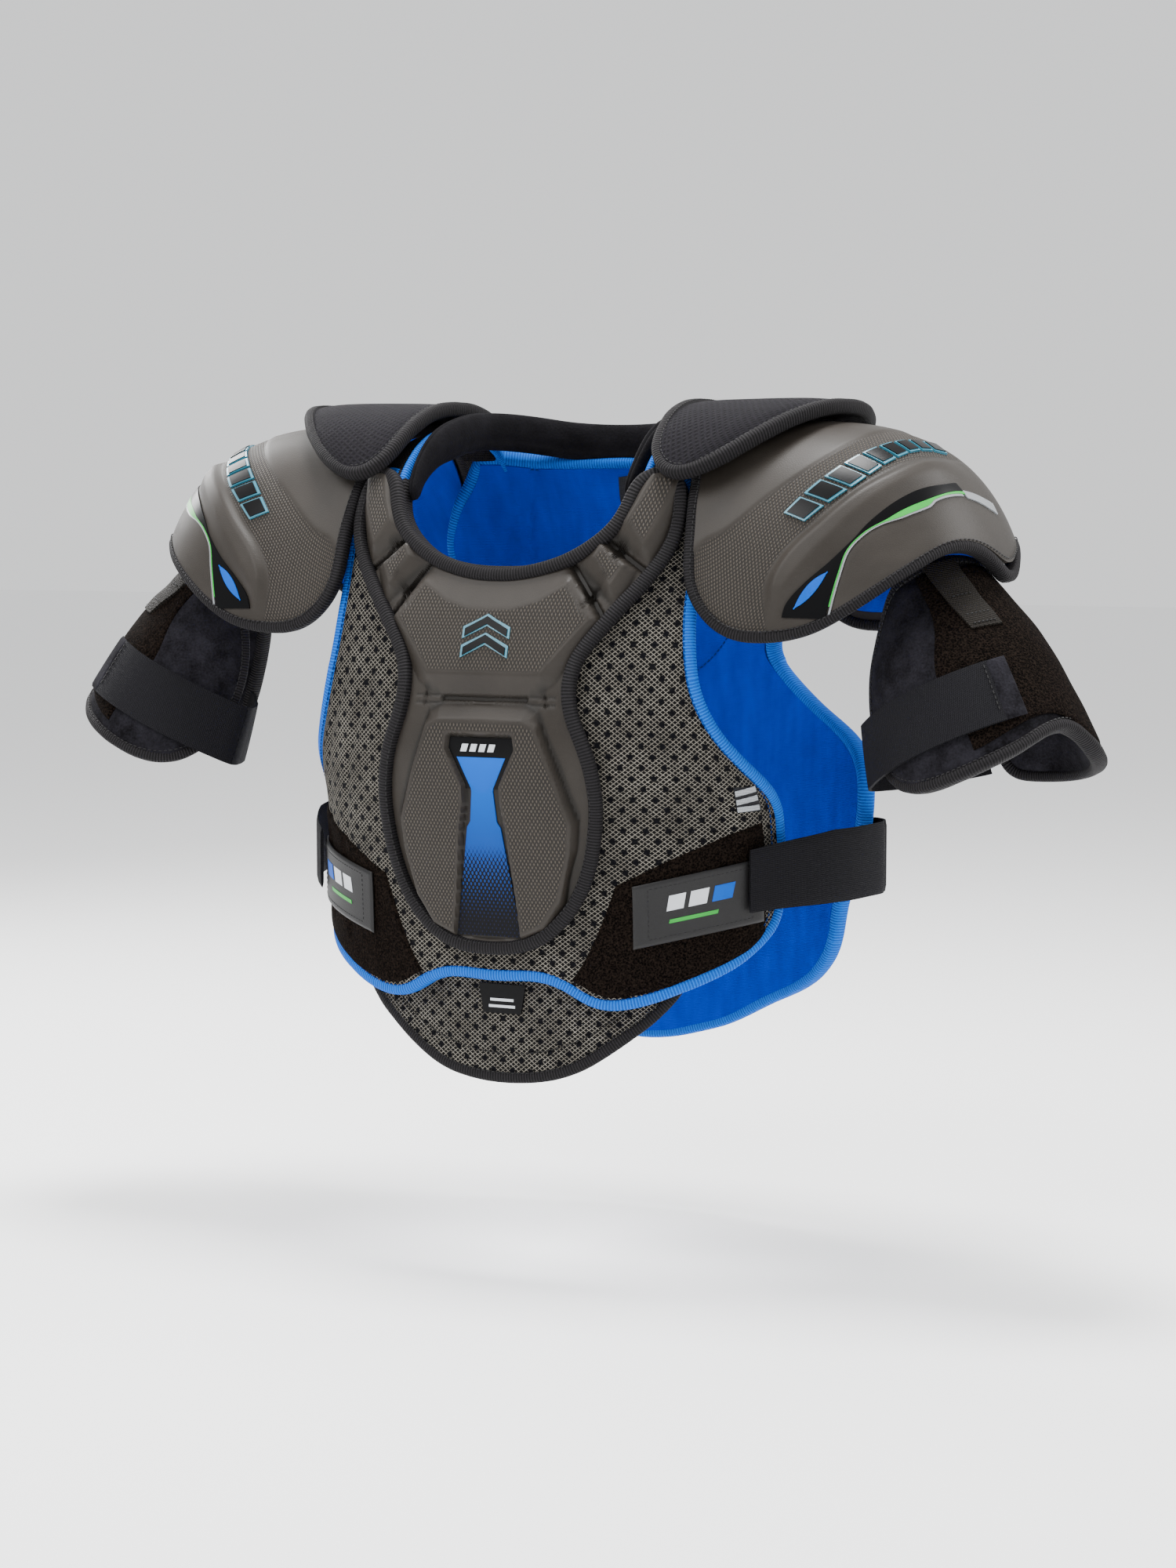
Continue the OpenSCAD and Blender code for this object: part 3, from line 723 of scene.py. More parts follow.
@dataclass(frozen=True)
class Finish:
    """A material: what it is made of and how it was made."""

    name: str
    slot: str
    base: str
    roughness: float = 0.8
    specular: float = 0.1

    def dress(self, piece: bpy.types.Object) -> bpy.types.Object:
        """Gives a piece this finish, making the material the first time."""
        piece.data.materials.clear()
        piece.data.materials.append(self.material())
        return piece

    def material(self) -> bpy.types.Material:
        """The material, made with its shader and pattern the first time."""
        made = bpy.data.materials.get(self.name)
        if made:
            return made
        made = bpy.data.materials.new(self.name)
        made.use_nodes = True
        made.node_tree.nodes.clear()
        node = partial(add_node, made.node_tree)
        plain = {"Base Color": self.base, "Roughness": self.roughness, "Specular IOR Level": self.specular}
        surface = node("BsdfPrincipled", plain | self.pattern(node))
        node("OutputMaterial", {"Surface": surface})
        return made

    def pattern(self, node: Wiring) -> dict[str, Socket]:
        """The shader inputs that make the surface uneven; each finish has its own."""
        return {}

    def bands(self, node: Wiring, place: Socket, pitch: float, turn: float) -> Socket:
        """Even waves across a pattern, a pitch in mm apart, turned by degrees."""
        turned = node("Mapping", {"Vector": place, "Rotation": (0, 0, math.radians(turn))})
        wave = {"Vector": turned, "Scale": math.pi / 10 / (pitch * MM), "Distortion": 0.0}
        return node("TexWave", wave)

    def crossed(self, node: Wiring, place: Socket, pitch: float, turn: float, how: str) -> Socket:
        """Two sets of bands, turned to either side, put together by a sum."""
        first, second = self.bands(node, place, pitch, turn), self.bands(node, place, pitch, -turn)
        return node("Math", {0: first, 1: second}, operation=how)


@dataclass(frozen=True)
class SpacerMesh(Finish):
    """Knitted spacer mesh: grey-beige strands in a fine net over black, with pressed dimples."""

    def pattern(self, node: Wiring) -> dict[str, Socket]:
        """A net of cells 3.6 by 2.8 mm, drawn coarser than the knit to show, and dimples 9 mm apart, darkened
        with painted shade.
        """
        place = node("UVMap")
        strand = self.crossed(node, place, 2.2, 52, "MAXIMUM")
        yarn = node("TexNoise", {"Vector": place, "Scale": 1 / (1.1 * MM), "Detail": 3.0})
        strand = node("Math", {0: yarn, 1: 0.55, 2: strand}, operation="MULTIPLY_ADD")
        light = node("MapRange", {0: strand, 1: 1.06, 2: 1.34})
        patch = node("TexNoise", {"Vector": place, "Scale": 1 / (26 * MM), "Detail": 3.0})
        patch = node("MapRange", {0: patch, 1: 0.3, 2: 0.7})
        shade = node("Mix", {0: patch, SHADE_A: "#6f6a62", SHADE_B: "#918c82"})
        net = node("Mix", {0: light, SHADE_A: "#050505", SHADE_B: shade})
        dot = self.crossed(node, place, 9, 45, "MULTIPLY")
        dimple = node("MapRange", {0: dot, 1: 0.62, 2: 0.74})
        # painted shade: the pressed dimples are darkened to near black
        net_with_dimple_shade = node("Mix", {0: dimple, SHADE_A: net, SHADE_B: "#020206"})
        pit = node("Bump", {"Height": node("MapRange", {0: dot, 1: 0.68, 2: 0.46}), "Distance": 0.0012})
        relief = node("Bump", {"Height": light, "Distance": 0.0006, "Normal": pit})
        return {"Base Color": net_with_dimple_shade, "Normal": relief}


@dataclass(frozen=True)
class MouldedFoam(Finish):
    """Compression-moulded EVA foam: smooth satin bevels, and tops pressed with tiny pyramids."""

    def pattern(self, node: Wiring) -> dict[str, Socket]:
        """Pyramids 2 mm apart where the texture mask says, painted shade in the hollows, and faint scuffs all
        over.
        """
        place = node("UVMap")
        mask = node("Attribute", attribute_name="texture")
        painted_hollow_shade = node("Attribute", attribute_name="hollow")
        peak = self.crossed(node, place, 2.0, 30, "MULTIPLY")
        peak = node("Math", {0: peak, 1: mask}, operation="MULTIPLY")
        scuff = node("TexNoise", {"Vector": place, "Scale": 1 / (30 * MM), "Detail": 5.0})
        tone = node("MapRange", {0: scuff, 1: 0.3, 2: 0.75})
        shade = node("Mix", {0: tone, SHADE_A: "#24201c", SHADE_B: "#2c2824"})
        # painted shade: the foam is darkened where it lies below its surroundings, in grooves and at the feet
        # of raised blocks
        dark = node("Math", {0: painted_hollow_shade, 1: 0.6}, operation="MULTIPLY")
        shade = node("Mix", {0: dark, SHADE_A: shade, SHADE_B: "#0c0b09"})
        # painted highlight: the pyramids' peaks are lightened
        top = node("MapRange", {0: peak, 1: 0.25, 2: 0.8})
        shade = node("Mix", {0: top, SHADE_A: shade, SHADE_B: "#49433c"})
        # painted shade: the pits between the pyramids are darkened
        pit = node("MapRange", {0: peak, 1: 0.0, 2: 0.22, 3: 0.55, 4: 0.0})
        pit = node("Math", {0: pit, 1: mask}, operation="MULTIPLY")
        shade = node("Mix", {0: pit, SHADE_A: shade, SHADE_B: "#0c0b0a"})
        rough = node("Math", {0: scuff, 1: 0.16, 2: self.roughness - 0.08}, operation="MULTIPLY_ADD")
        rough = node("Math", {0: mask, 1: 0.12, 2: rough}, operation="MULTIPLY_ADD")
        grain = node("TexNoise", {"Vector": place, "Scale": 1 / (0.9 * MM), "Detail": 4.0})
        grain = node("Bump", {"Height": grain, "Distance": 0.00012})
        relief = node("Bump", {"Height": peak, "Distance": 0.0006, "Normal": grain})
        return {"Base Color": shade, "Roughness": rough, "Normal": relief}


@dataclass(frozen=True)
class RibbedTape(Finish):
    """Ribbed knit binding, folded over an edge: fine cross ribs that catch the light."""

    light: str = "#3a3638"

    def pattern(self, node: Wiring) -> dict[str, Socket]:
        """Cross ribs 1.8 mm apart, with fuzz."""
        rib = self.bands(node, node("UVMap"), 1.8, 0)
        solid = node("TexCoord")
        fuzz = node("TexNoise", {"Vector": solid, "Scale": 1 / (0.8 * MM), "Detail": 3.0})
        fuzz = node("Math", {0: fuzz, 1: 0.5}, operation="MULTIPLY")
        ribbed = node("Math", {0: rib, 1: 0.75, 2: fuzz}, operation="MULTIPLY_ADD")
        share = node("MapRange", {0: ribbed, 1: 0.2, 2: 1.0})
        shade = node("Mix", {0: share, SHADE_A: self.base, SHADE_B: self.light})
        return {"Base Color": shade, "Normal": node("Bump", {"Height": ribbed, "Distance": 0.0005})}


@dataclass(frozen=True)
class BrushedTricot(Finish):
    """Brushed tricot lining: a short matt nap that lies in soft lighter streaks."""

    def pattern(self, node: Wiring) -> dict[str, Socket]:
        """Nap in soft streaks 9 mm wide and a fine knit grain."""
        place = node("UVMap")
        streak = node("Mapping", {"Vector": place, "Scale": (1.0, 0.25, 1.0)})
        nap = node("TexNoise", {"Vector": streak, "Scale": 1 / (9 * MM), "Detail": 4.0})
        nap = node("MapRange", {0: nap, 1: 0.3, 2: 0.72})
        shade = node("Mix", {0: nap, SHADE_A: "#022a8e", SHADE_B: "#0334a6"})
        yarn = node("TexNoise", {"Vector": place, "Scale": 1 / (0.7 * MM), "Detail": 3.0})
        knit = node("Math", {0: self.bands(node, place, 1.1, 90), 1: yarn}, operation="MULTIPLY")
        return {"Base Color": shade, "Normal": node("Bump", {"Height": knit, "Distance": 0.0003})}


@dataclass(frozen=True)
class LoopPile(Finish):
    """Fleece of tiny loops that hooks grip: a deep fuzz, black with brown tips."""

    def pattern(self, node: Wiring) -> dict[str, Socket]:
        """Loops about 1.2 mm across in clumps."""
        solid = node("TexCoord")
        loops = node("TexVoronoi", {"Vector": solid, "Scale": 850.0, "Randomness": 1.0})
        loops = node("Math", {0: loops, 1: 0.5}, operation="MULTIPLY")
        clump = node("TexNoise", {"Vector": solid, "Scale": 1 / (1.3 * MM), "Detail": 5.0})
        tuft = node("Math", {0: clump, 1: 0.8, 2: loops}, operation="MULTIPLY_ADD")
        tip = node("MapRange", {0: tuft, 1: 0.5, 2: 0.86})
        shade = node("Mix", {0: tip, SHADE_A: "#020101", SHADE_B: "#1a1410"})
        return {"Base Color": shade, "Normal": node("Bump", {"Height": tuft, "Distance": 0.0012})}


@dataclass(frozen=True)
class EmbossedCloth(Finish):
    """Foam-backed cloth embossed with small scales: charcoal, matt, slightly blue."""

    light: str = "#33313a"
    pitch: float = 3.6
    depth: float = 0.0005

    def pattern(self, node: Wiring) -> dict[str, Socket]:
        """Slanted scales a few millimetres apart over a weave drawn at 0.9 mm to show."""
        place = node("UVMap")
        scale = self.crossed(node, place, self.pitch, 38, "MAXIMUM")
        weft, warp = self.bands(node, place, 0.9, 0), self.bands(node, place, 0.9, 90)
        weave = node("Math", {0: weft, 1: warp}, operation="MULTIPLY")
        solid = node("TexCoord")
        fuzz = node("TexNoise", {"Vector": solid, "Scale": 1 / (1.6 * MM), "Detail": 5.0})
        soft = node("Math", {0: fuzz, 1: 0.8}, operation="MULTIPLY")
        tone = node("Math", {0: scale, 1: 0.5, 2: soft}, operation="MULTIPLY_ADD")
        share = node("MapRange", {0: tone, 1: 0.4, 2: 1.1})
        shade = node("Mix", {0: share, SHADE_A: self.base, SHADE_B: self.light})
        height = node("Math", {0: fuzz, 1: 0.6, 2: scale}, operation="MULTIPLY_ADD")
        relief = node("Bump", {"Height": height, "Distance": self.depth})
        relief = node("Bump", {"Height": weave, "Distance": 0.0002, "Normal": relief})
        return {"Base Color": shade, "Normal": relief}


@dataclass(frozen=True)
class NapFabric(Finish):
    """Suede-like knit: short nap with cloudy lighter patches where it was brushed."""

    light: str = "#35333b"

    def pattern(self, node: Wiring) -> dict[str, Socket]:
        """Cloudy nap and fine fibres."""
        solid = node("TexCoord")
        cloud = node("TexNoise", {"Vector": solid, "Scale": 1 / (14 * MM), "Detail": 6.0})
        fibre = node("TexNoise", {"Vector": solid, "Scale": 1 / (1.4 * MM), "Detail": 4.0})
        fibre = node("Math", {0: fibre, 1: 0.45}, operation="MULTIPLY")
        nap = node("Math", {0: cloud, 1: 0.7, 2: fibre}, operation="MULTIPLY_ADD")
        share = node("MapRange", {0: nap, 1: 0.42, 2: 0.8})
        shade = node("Mix", {0: share, SHADE_A: self.base, SHADE_B: self.light})
        return {"Base Color": shade, "Normal": node("Bump", {"Height": nap, "Distance": 0.0009})}


@dataclass(frozen=True)
class WovenTape(Finish):
    """Woven tape: elastic with fine lengthwise cords, or twill webbing with slanted ribs."""

    light: str = "#2c2a2e"
    turn: float = 90.0
    pitch: float = 1.2
    depth: float = 0.0003

    def pattern(self, node: Wiring) -> dict[str, Socket]:
        """Cords a pitch apart, crossed by fine picks."""
        place = node("UVMap")
        cord = self.bands(node, place, self.pitch, self.turn)
        pick = self.bands(node, place, 0.8, self.turn + 90)
        fibre = node("TexNoise", {"Vector": place, "Scale": 1 / (0.7 * MM), "Detail": 3.0})
        pick = node("Math", {0: pick, 1: fibre}, operation="MULTIPLY")
        pick = node("Math", {0: pick, 1: 0.8}, operation="MULTIPLY")
        weave = node("Math", {0: cord, 1: 0.6, 2: pick}, operation="MULTIPLY_ADD")
        share = node("MapRange", {0: weave, 1: 0.1, 2: 1.0})
        shade = node("Mix", {0: share, SHADE_A: self.base, SHADE_B: self.light})
        return {"Base Color": shade, "Normal": node("Bump", {"Height": weave, "Distance": self.depth})}


@dataclass(frozen=True)
class FadeFilm(Finish):
    """Moulded film badge: bright blue that breaks into small hexagon dots and ends dark grey."""

    def pattern(self, node: Wiring) -> dict[str, Socket]:
        """Dots about 2.6 mm apart that shrink down the badge."""
        place = node("UVMap")
        height = node("SeparateXYZ", {0: place})
        fade = node("MapRange", {0: height, 1: 0.108, 2: 0.205})
        dots = self.crossed(node, place, 2.3, 30, "MULTIPLY")
        shown = node("Math", {0: fade, 1: 1.5, 2: -0.62}, operation="MULTIPLY_ADD")
        gate = node("Math", {0: dots, 1: shown}, operation="ADD")
        blue = node("Mix", {0: fade, SHADE_A: "#14182c", SHADE_B: "#0052b4"})
        share = node("MapRange", {0: gate, 1: 0.0, 2: 0.12})
        shade = node("Mix", {0: share, SHADE_A: "#0d0d10", SHADE_B: blue})
        edge = node("MapRange", {0: gate, 1: 0.0, 2: 0.2})
        return {"Base Color": shade, "Normal": node("Bump", {"Height": edge, "Distance": 0.00012})}


@dataclass(frozen=True)
class Moulding(Finish):
    """Plain moulded plastic or rubber with a faint orange-peel."""

    grain: float = 1.2
    depth: float = 0.00006

    def pattern(self, node: Wiring) -> dict[str, Socket]:
        """Faint grain and slight changes of tone."""
        solid = node("TexCoord")
        cloud = node("TexNoise", {"Vector": solid, "Scale": 1 / (12 * MM), "Detail": 3.0})
        value = node("Math", {0: cloud, 1: 0.3, 2: 0.85}, operation="MULTIPLY_ADD")
        shade = node("HueSaturation", {"Color": self.base, "Value": value})
        peel = node("TexNoise", {"Vector": solid, "Scale": 1 / (self.grain * MM), "Detail": 3.0})
        return {"Base Color": shade, "Normal": node("Bump", {"Height": peel, "Distance": self.depth})}


# grey-beige net over black, with rows of dimples darkened by painted shade
MESH = SpacerMesh("spacer_mesh_knitted", "spacer_mesh", "#4a453d", 0.85)
# brown-grey with a satin sheen, tops pressed with tiny pyramids, painted highlights on their peaks, painted
# shade in their pits and in the hollows
FOAM = MouldedFoam("eva_foam_moulded", "moulded_foam", "#262019", 0.5, 0.2)
# black edge with fine ribs across it
BLACK_TAPE = RibbedTape("knit_tape_black", "black_binding", "#040404", 0.75, 0.12, light="#1f1d1f")
# bright blue edge with the same ribs
BLUE_TAPE = RibbedTape("knit_tape_azure", "blue_binding", "#013a8c", 0.75, light="#0260c4")
# deep blue nap with soft lighter streaks
LINING = BrushedTricot("tricot_lining_brushed", "blue_lining", "#022484", 0.9, 0.05)
# black fuzz of tiny loops with brown tips
FLEECE = LoopPile("loop_fleece_knitted", "fleece_loop", "#060504", 0.95, 0.03)
# black cloth with small pressed scales
FLAP_CLOTH = EmbossedCloth("foam_backed_cloth_embossed", "embossed_fabric", "#060507", 0.86, light="#17151a")
# dark brushed cloth with cloudy patches
NAP = NapFabric("suede_knit_brushed", "embossed_fabric", "#09080a", 0.9, 0.05, light="#232227")
# dark shoulder mesh, pressed finer and deeper than the flap cloth
YOKE_MESH = EmbossedCloth("shoulder_mesh_knitted", "embossed_fabric", "#040304", 0.9, light="#181513",
                          pitch=2.2, depth=0.0008)
# dull black, smooth and faintly cloudy
NEOPRENE = NapFabric("neoprene_knit_faced", "neoprene", "#050406", 0.85, 0.08, light="#100f12")
# matt black band with fine lengthwise weave
ELASTIC = WovenTape("elastic_woven", "elastic", "#060608", 0.8, light="#17161a")
# warm black twill with slanted ribs
WEBBING = WovenTape("polyester_webbing_twill", "webbing", "#0a0907", 0.7, light="#24201c", turn=35, pitch=1.7,
                    depth=0.0005)
# the only glossy black, with sharp highlights
GLOSS = Moulding("film_badge_gloss_black", "gloss_badge", "#010102", 0.3, 0.12, depth=0.00001)
# thin teal edge that glints around the gloss bars
TEAL = Moulding("film_edge_teal_metallic", "gloss_badge", "#2c6b7e", 0.3, 0.5)
# flat, strong blue film
BLUE_FILM = Moulding("film_badge_blue", "blue_badge", "#004aa8", 0.45, 0.08)
# bright green line
GREEN_FILM = Moulding("film_line_green", "green_film", "#168c2a", 0.4, 0.3)
# pale line with a metal glint
SILVER_FILM = Moulding("film_line_silver", "green_film", "#74777a", 0.3, 0.5)
# flat white ink
WHITE_PRINT = Moulding("screen_print_white", "white_label", "#b9bcc0", 0.5, 0.3)
# bright blue that breaks into dots and ends dark grey
BADGE = FadeFilm("film_badge_fading", "blue_badge", "#004aa8", 0.45, 0.08)
# matt charcoal with a fine grain
RUBBER = Moulding("rubber_moulded_matt", "rubber_tab", "#0a090a", 0.5, 0.3, grain=0.8, depth=0.0001)
# pale satin with a fine weave
LABEL = WovenTape("satin_label_woven", "white_label", "#6f7276", 0.6, light="#b4b7bb", pitch=0.9)
# black satin with a soft shine
SATIN = WovenTape("satin_tape_woven", "black_satin", "#040406", 0.5, 0.2, light="#0f1016", pitch=0.9)
# black stitches that catch a little light
THREAD = WovenTape("polyester_thread_black", "black_binding", "#0e0d0e", 0.6, 0.3, light="#2c2a2c")
# blue stitches, darker than the tape
BLUE_THREAD = WovenTape("polyester_thread_blue", "blue_binding", "#012460", 0.7, light="#03479c")


# ---- making and placing pieces ---------------------------------------------------------------


def put(piece: bpy.types.Object, finish: Finish, body: str, *nodes: str,
        fill: Optional[float] = None) -> bpy.types.Object:
    """Finishes a piece, hangs it on its body and lets it stand for its CAD nodes.

    Args:
        piece: The piece.
        finish: Its material.
        body: The body that it moves with.
        nodes: The CAD nodes that it replaces.
        fill: How full it is, where it is padded; not used.

    Returns:
        The piece.
    """
    finish.dress(piece)
    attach(piece, body)
    if nodes:
        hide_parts(*nodes)
    LOG.info("%s: %d faces, on %s", piece.name, len(piece.data.polygons), body)
    return piece


def hem(name: str, skin: Skin, edge: Grid, inner: Grid, sizes: tuple[float, float, float], seed: int,
        row: float, body: str, node: str, side: Side = Side.LEFT) -> None:
    """Binds a panel with folded tape and a row of stitches just inside it.

    Args:
        name: The start of both pieces' names.
        skin: The panel's surface.
        edge: The panel's places, out to the tape's middle.
        inner: The panel's places, out to the stitches.
        sizes: The tape's width and the heights of its inner and outer faces.
        seed: Number that sets the tape's small waves.
        row: Height of the stitches.
        body: The body that both move with.
        node: The CAD node that the tape replaces.
        side: The side it is on.
    """
    tail = "" if body in ("vest", "belly_pad") else "_" + side.word
    put(tape(f"{name}_tape{tail}", skin, edge, *sizes, side, seed), BLACK_TAPE, body, node)
    line = even_loop(skin, edge_of(inner), 1.5)
    put(stitches(f"{name}_stitches{tail}", skin, line, row, side), THREAD, body)


def joined(name: str, pieces: list[bpy.types.Object]) -> bpy.types.Object:
    """Several pieces as one, under a new name."""
    bpy.ops.object.select_all(action="DESELECT")
    for piece in pieces:
        piece.select_set(True)
    bpy.context.view_layer.objects.active = pieces[0]
    bpy.ops.object.join()
    pieces[0].name = name
    pieces[0].data.name = name
    return pieces[0]


def second_finish(piece: bpy.types.Object, finish: Finish, chosen: Callable[[Vector], bool]) -> None:
    """Gives another finish to the faces whose centre is chosen."""
    piece.data.materials.append(finish.material())
    for face in piece.data.polygons:
        if chosen(face.center):
            face.material_index = len(piece.data.materials) - 1


SWOLLEN: dict[str, Array] = {}


def swell(piece: bpy.types.Object, key: str, side: Side, pressure: float, cap: float,
          voxel: float = 0.005) -> None:
    """Swells a padded piece as cloth under pressure, and keeps its fine mesh and its seams.

    A coarse copy is simulated, and the way that it moves is carried over to the piece. The other
    side's piece takes the same shape, mirrored.

    Args:
        piece: The piece, at rest.
        key: Name under which the shape is kept for the other side.
        side: The side that it is on.
        pressure: Pressure inside.
        cap: How far a point may move, in mm.
        voxel: Size of the copy's faces in metres.
    """
    count = len(piece.data.vertices)
    points = np.empty(count * 3, np.float32)
    piece.data.vertices.foreach_get("co", points)
    points = points.reshape(-1, 3)
    mirror = [side.value, 1, 1]
    if key not in SWOLLEN:
        SWOLLEN[key] = simulate(piece, points, pressure, cap, voxel) * mirror
    points = points + SWOLLEN[key] * mirror
    piece.data.vertices.foreach_set("co", points.astype(np.float32).ravel())
    piece.data.update()


def simulate(piece: bpy.types.Object, points: Array, pressure: float, cap: float, voxel: float) -> Array:
    """How far each point of a piece moves when a coarse copy of it is blown up as cloth.

    Args:
        piece: The piece.
        points: Its points in metres.
        pressure: Pressure inside.
        cap: How far a point may move, in mm.
        voxel: Size of the copy's faces in metres.

    Returns:
        A move for each point, in metres.
    """
    scene = bpy.context.scene
    copy = bpy.data.objects.new("swelling", piece.data.copy())
    scene.collection.objects.link(copy)
    bpy.ops.object.select_all(action="DESELECT")
    copy.select_set(True)
    bpy.context.view_layer.objects.active = copy
    copy.data.remesh_voxel_size = voxel
    bpy.ops.object.voxel_remesh()
    before = np.array([v.co[:] for v in copy.data.vertices])
    cloth = copy.modifiers.new("Cloth", "CLOTH").settings
    cloth.use_pressure = True
    cloth.uniform_pressure_force = pressure
    cloth.mass = 0.3
    cloth.tension_stiffness = cloth.compression_stiffness = 25
    cloth.bending_stiffness = 2.0
    cloth.effector_weights.gravity = 0
    scene.frame_start, scene.frame_end = 1, 20
    for number in range(1, 21):
        scene.frame_set(number)
    after_mesh = copy.evaluated_get(bpy.context.evaluated_depsgraph_get()).to_mesh()
    after = np.array([v.co[:] for v in after_mesh.vertices])
    move = after - before
    size = np.linalg.norm(move, axis=1, keepdims=True)
    move *= np.minimum(1, cap * MM / np.maximum(size, 1e-9))
    tree = KDTree(len(before))
    for number, place in enumerate(before):
        tree.insert(place, number)
    tree.balance()
    carried = np.zeros_like(points, float)
    for number, place in enumerate(points):
        near = tree.find_n(place, 7)
        weights = np.array([1 / (hit[2] + 0.001) for hit in near])
        carried[number] = (move[[hit[1] for hit in near]] * weights[:, None]).sum(0) / weights.sum()
    bpy.data.objects.remove(copy)
    scene.frame_set(1)
    return carried


def refined(line: Curve) -> Curve:
    """The same curve with a point for every degree or so."""
    b = np.linspace(line[0][0], line[-1][0], 90)
    return tuple(zip(b.tolist(), curve(b, line).tolist()))


def grid_between(inner: Curve, outer: Curve, start: float, end: float, cols: int, rows: int,
                 low: float = 0, high: float = 1) -> Grid:
    """Places between two lines that are x over an angle.

    Args:
        inner: The inner line.
        outer: The outer line.
        start: First angle.
        end: Last angle.
        cols: Columns.
        rows: Rows.
        low: Share of the way across where it starts.
        high: Share where it ends.

    Returns:
        x and angle.
    """
    s, b = np.linspace(low, high, cols + 1)[None, :], np.linspace(start, end, rows + 1)[:, None]
    b = np.broadcast_to(b, (rows + 1, cols + 1))
    return curve(b, inner) * (1 - s) + curve(b, outer) * s, b


def block(x: Number, z: Number, cols: int, rows: int) -> Grid:
    """Places on a four-sided patch: x and z each give (low, high), as numbers or values for each column."""
    s, t = np.linspace(0, 1, cols + 1)[None, :], np.linspace(0, 1, rows + 1)[:, None]
    return np.broadcast_to(x[0] + (x[1] - x[0]) * s, (rows + 1, cols + 1)), z[0] + (z[1] - z[0]) * t + 0 * s


# ---- chest plate -----------------------------------------------------------------------------

SHIELD_FOOT = both_sides(((0, 238), (29, 237), (36, 234), (51, 194), (58.5, 171.5), (57, 155), (51.7, 138),
                          (48.4, 120), (38.8, 103), (20, 94), (0, 93)))
SHIELD_TOP = both_sides(((0, 229.5), (27.5, 229), (35.6, 225.5), (46, 198), (54.5, 170), (52.5, 150),
                         (46, 123), (35, 105.5), (18, 98), (0, 97)))
HEX_FOOT = both_sides(((0, 322), (45, 321), (71, 286), (45, 250), (34.5, 244), (0, 244)))
HEX_TOP = both_sides(((0, 292), (15, 292.5), (30, 297), (46.5, 307), (63, 286), (37, 253.6), (0, 253.5)))
RIB_FOOT = ((48.5, 322), (63, 336), (86, 316.5), (76.5, 291.5))
RIB_TOP = ((60, 323.5), (63.5, 331.5), (78.4, 317.6), (72, 304.5))
STRAP_FOOT = ((66, 340), (80, 372), (106, 372), (104, 350), (92, 319))
STRAP_TOP = ((77, 345), (86, 369), (100, 369), (96, 350), (87.5, 330))
BADGE_HOLE = ((96, 22.3), (98, 22), (165, 15.2), (180, 12.6), (192, 12.3), (213, 22.6), (220, 21.5))
BADGE_WIDE = ((97, 21), (99, 21), (138, 15.4), (166, 11.1), (169.5, 8.8), (189, 7), (208, 16))


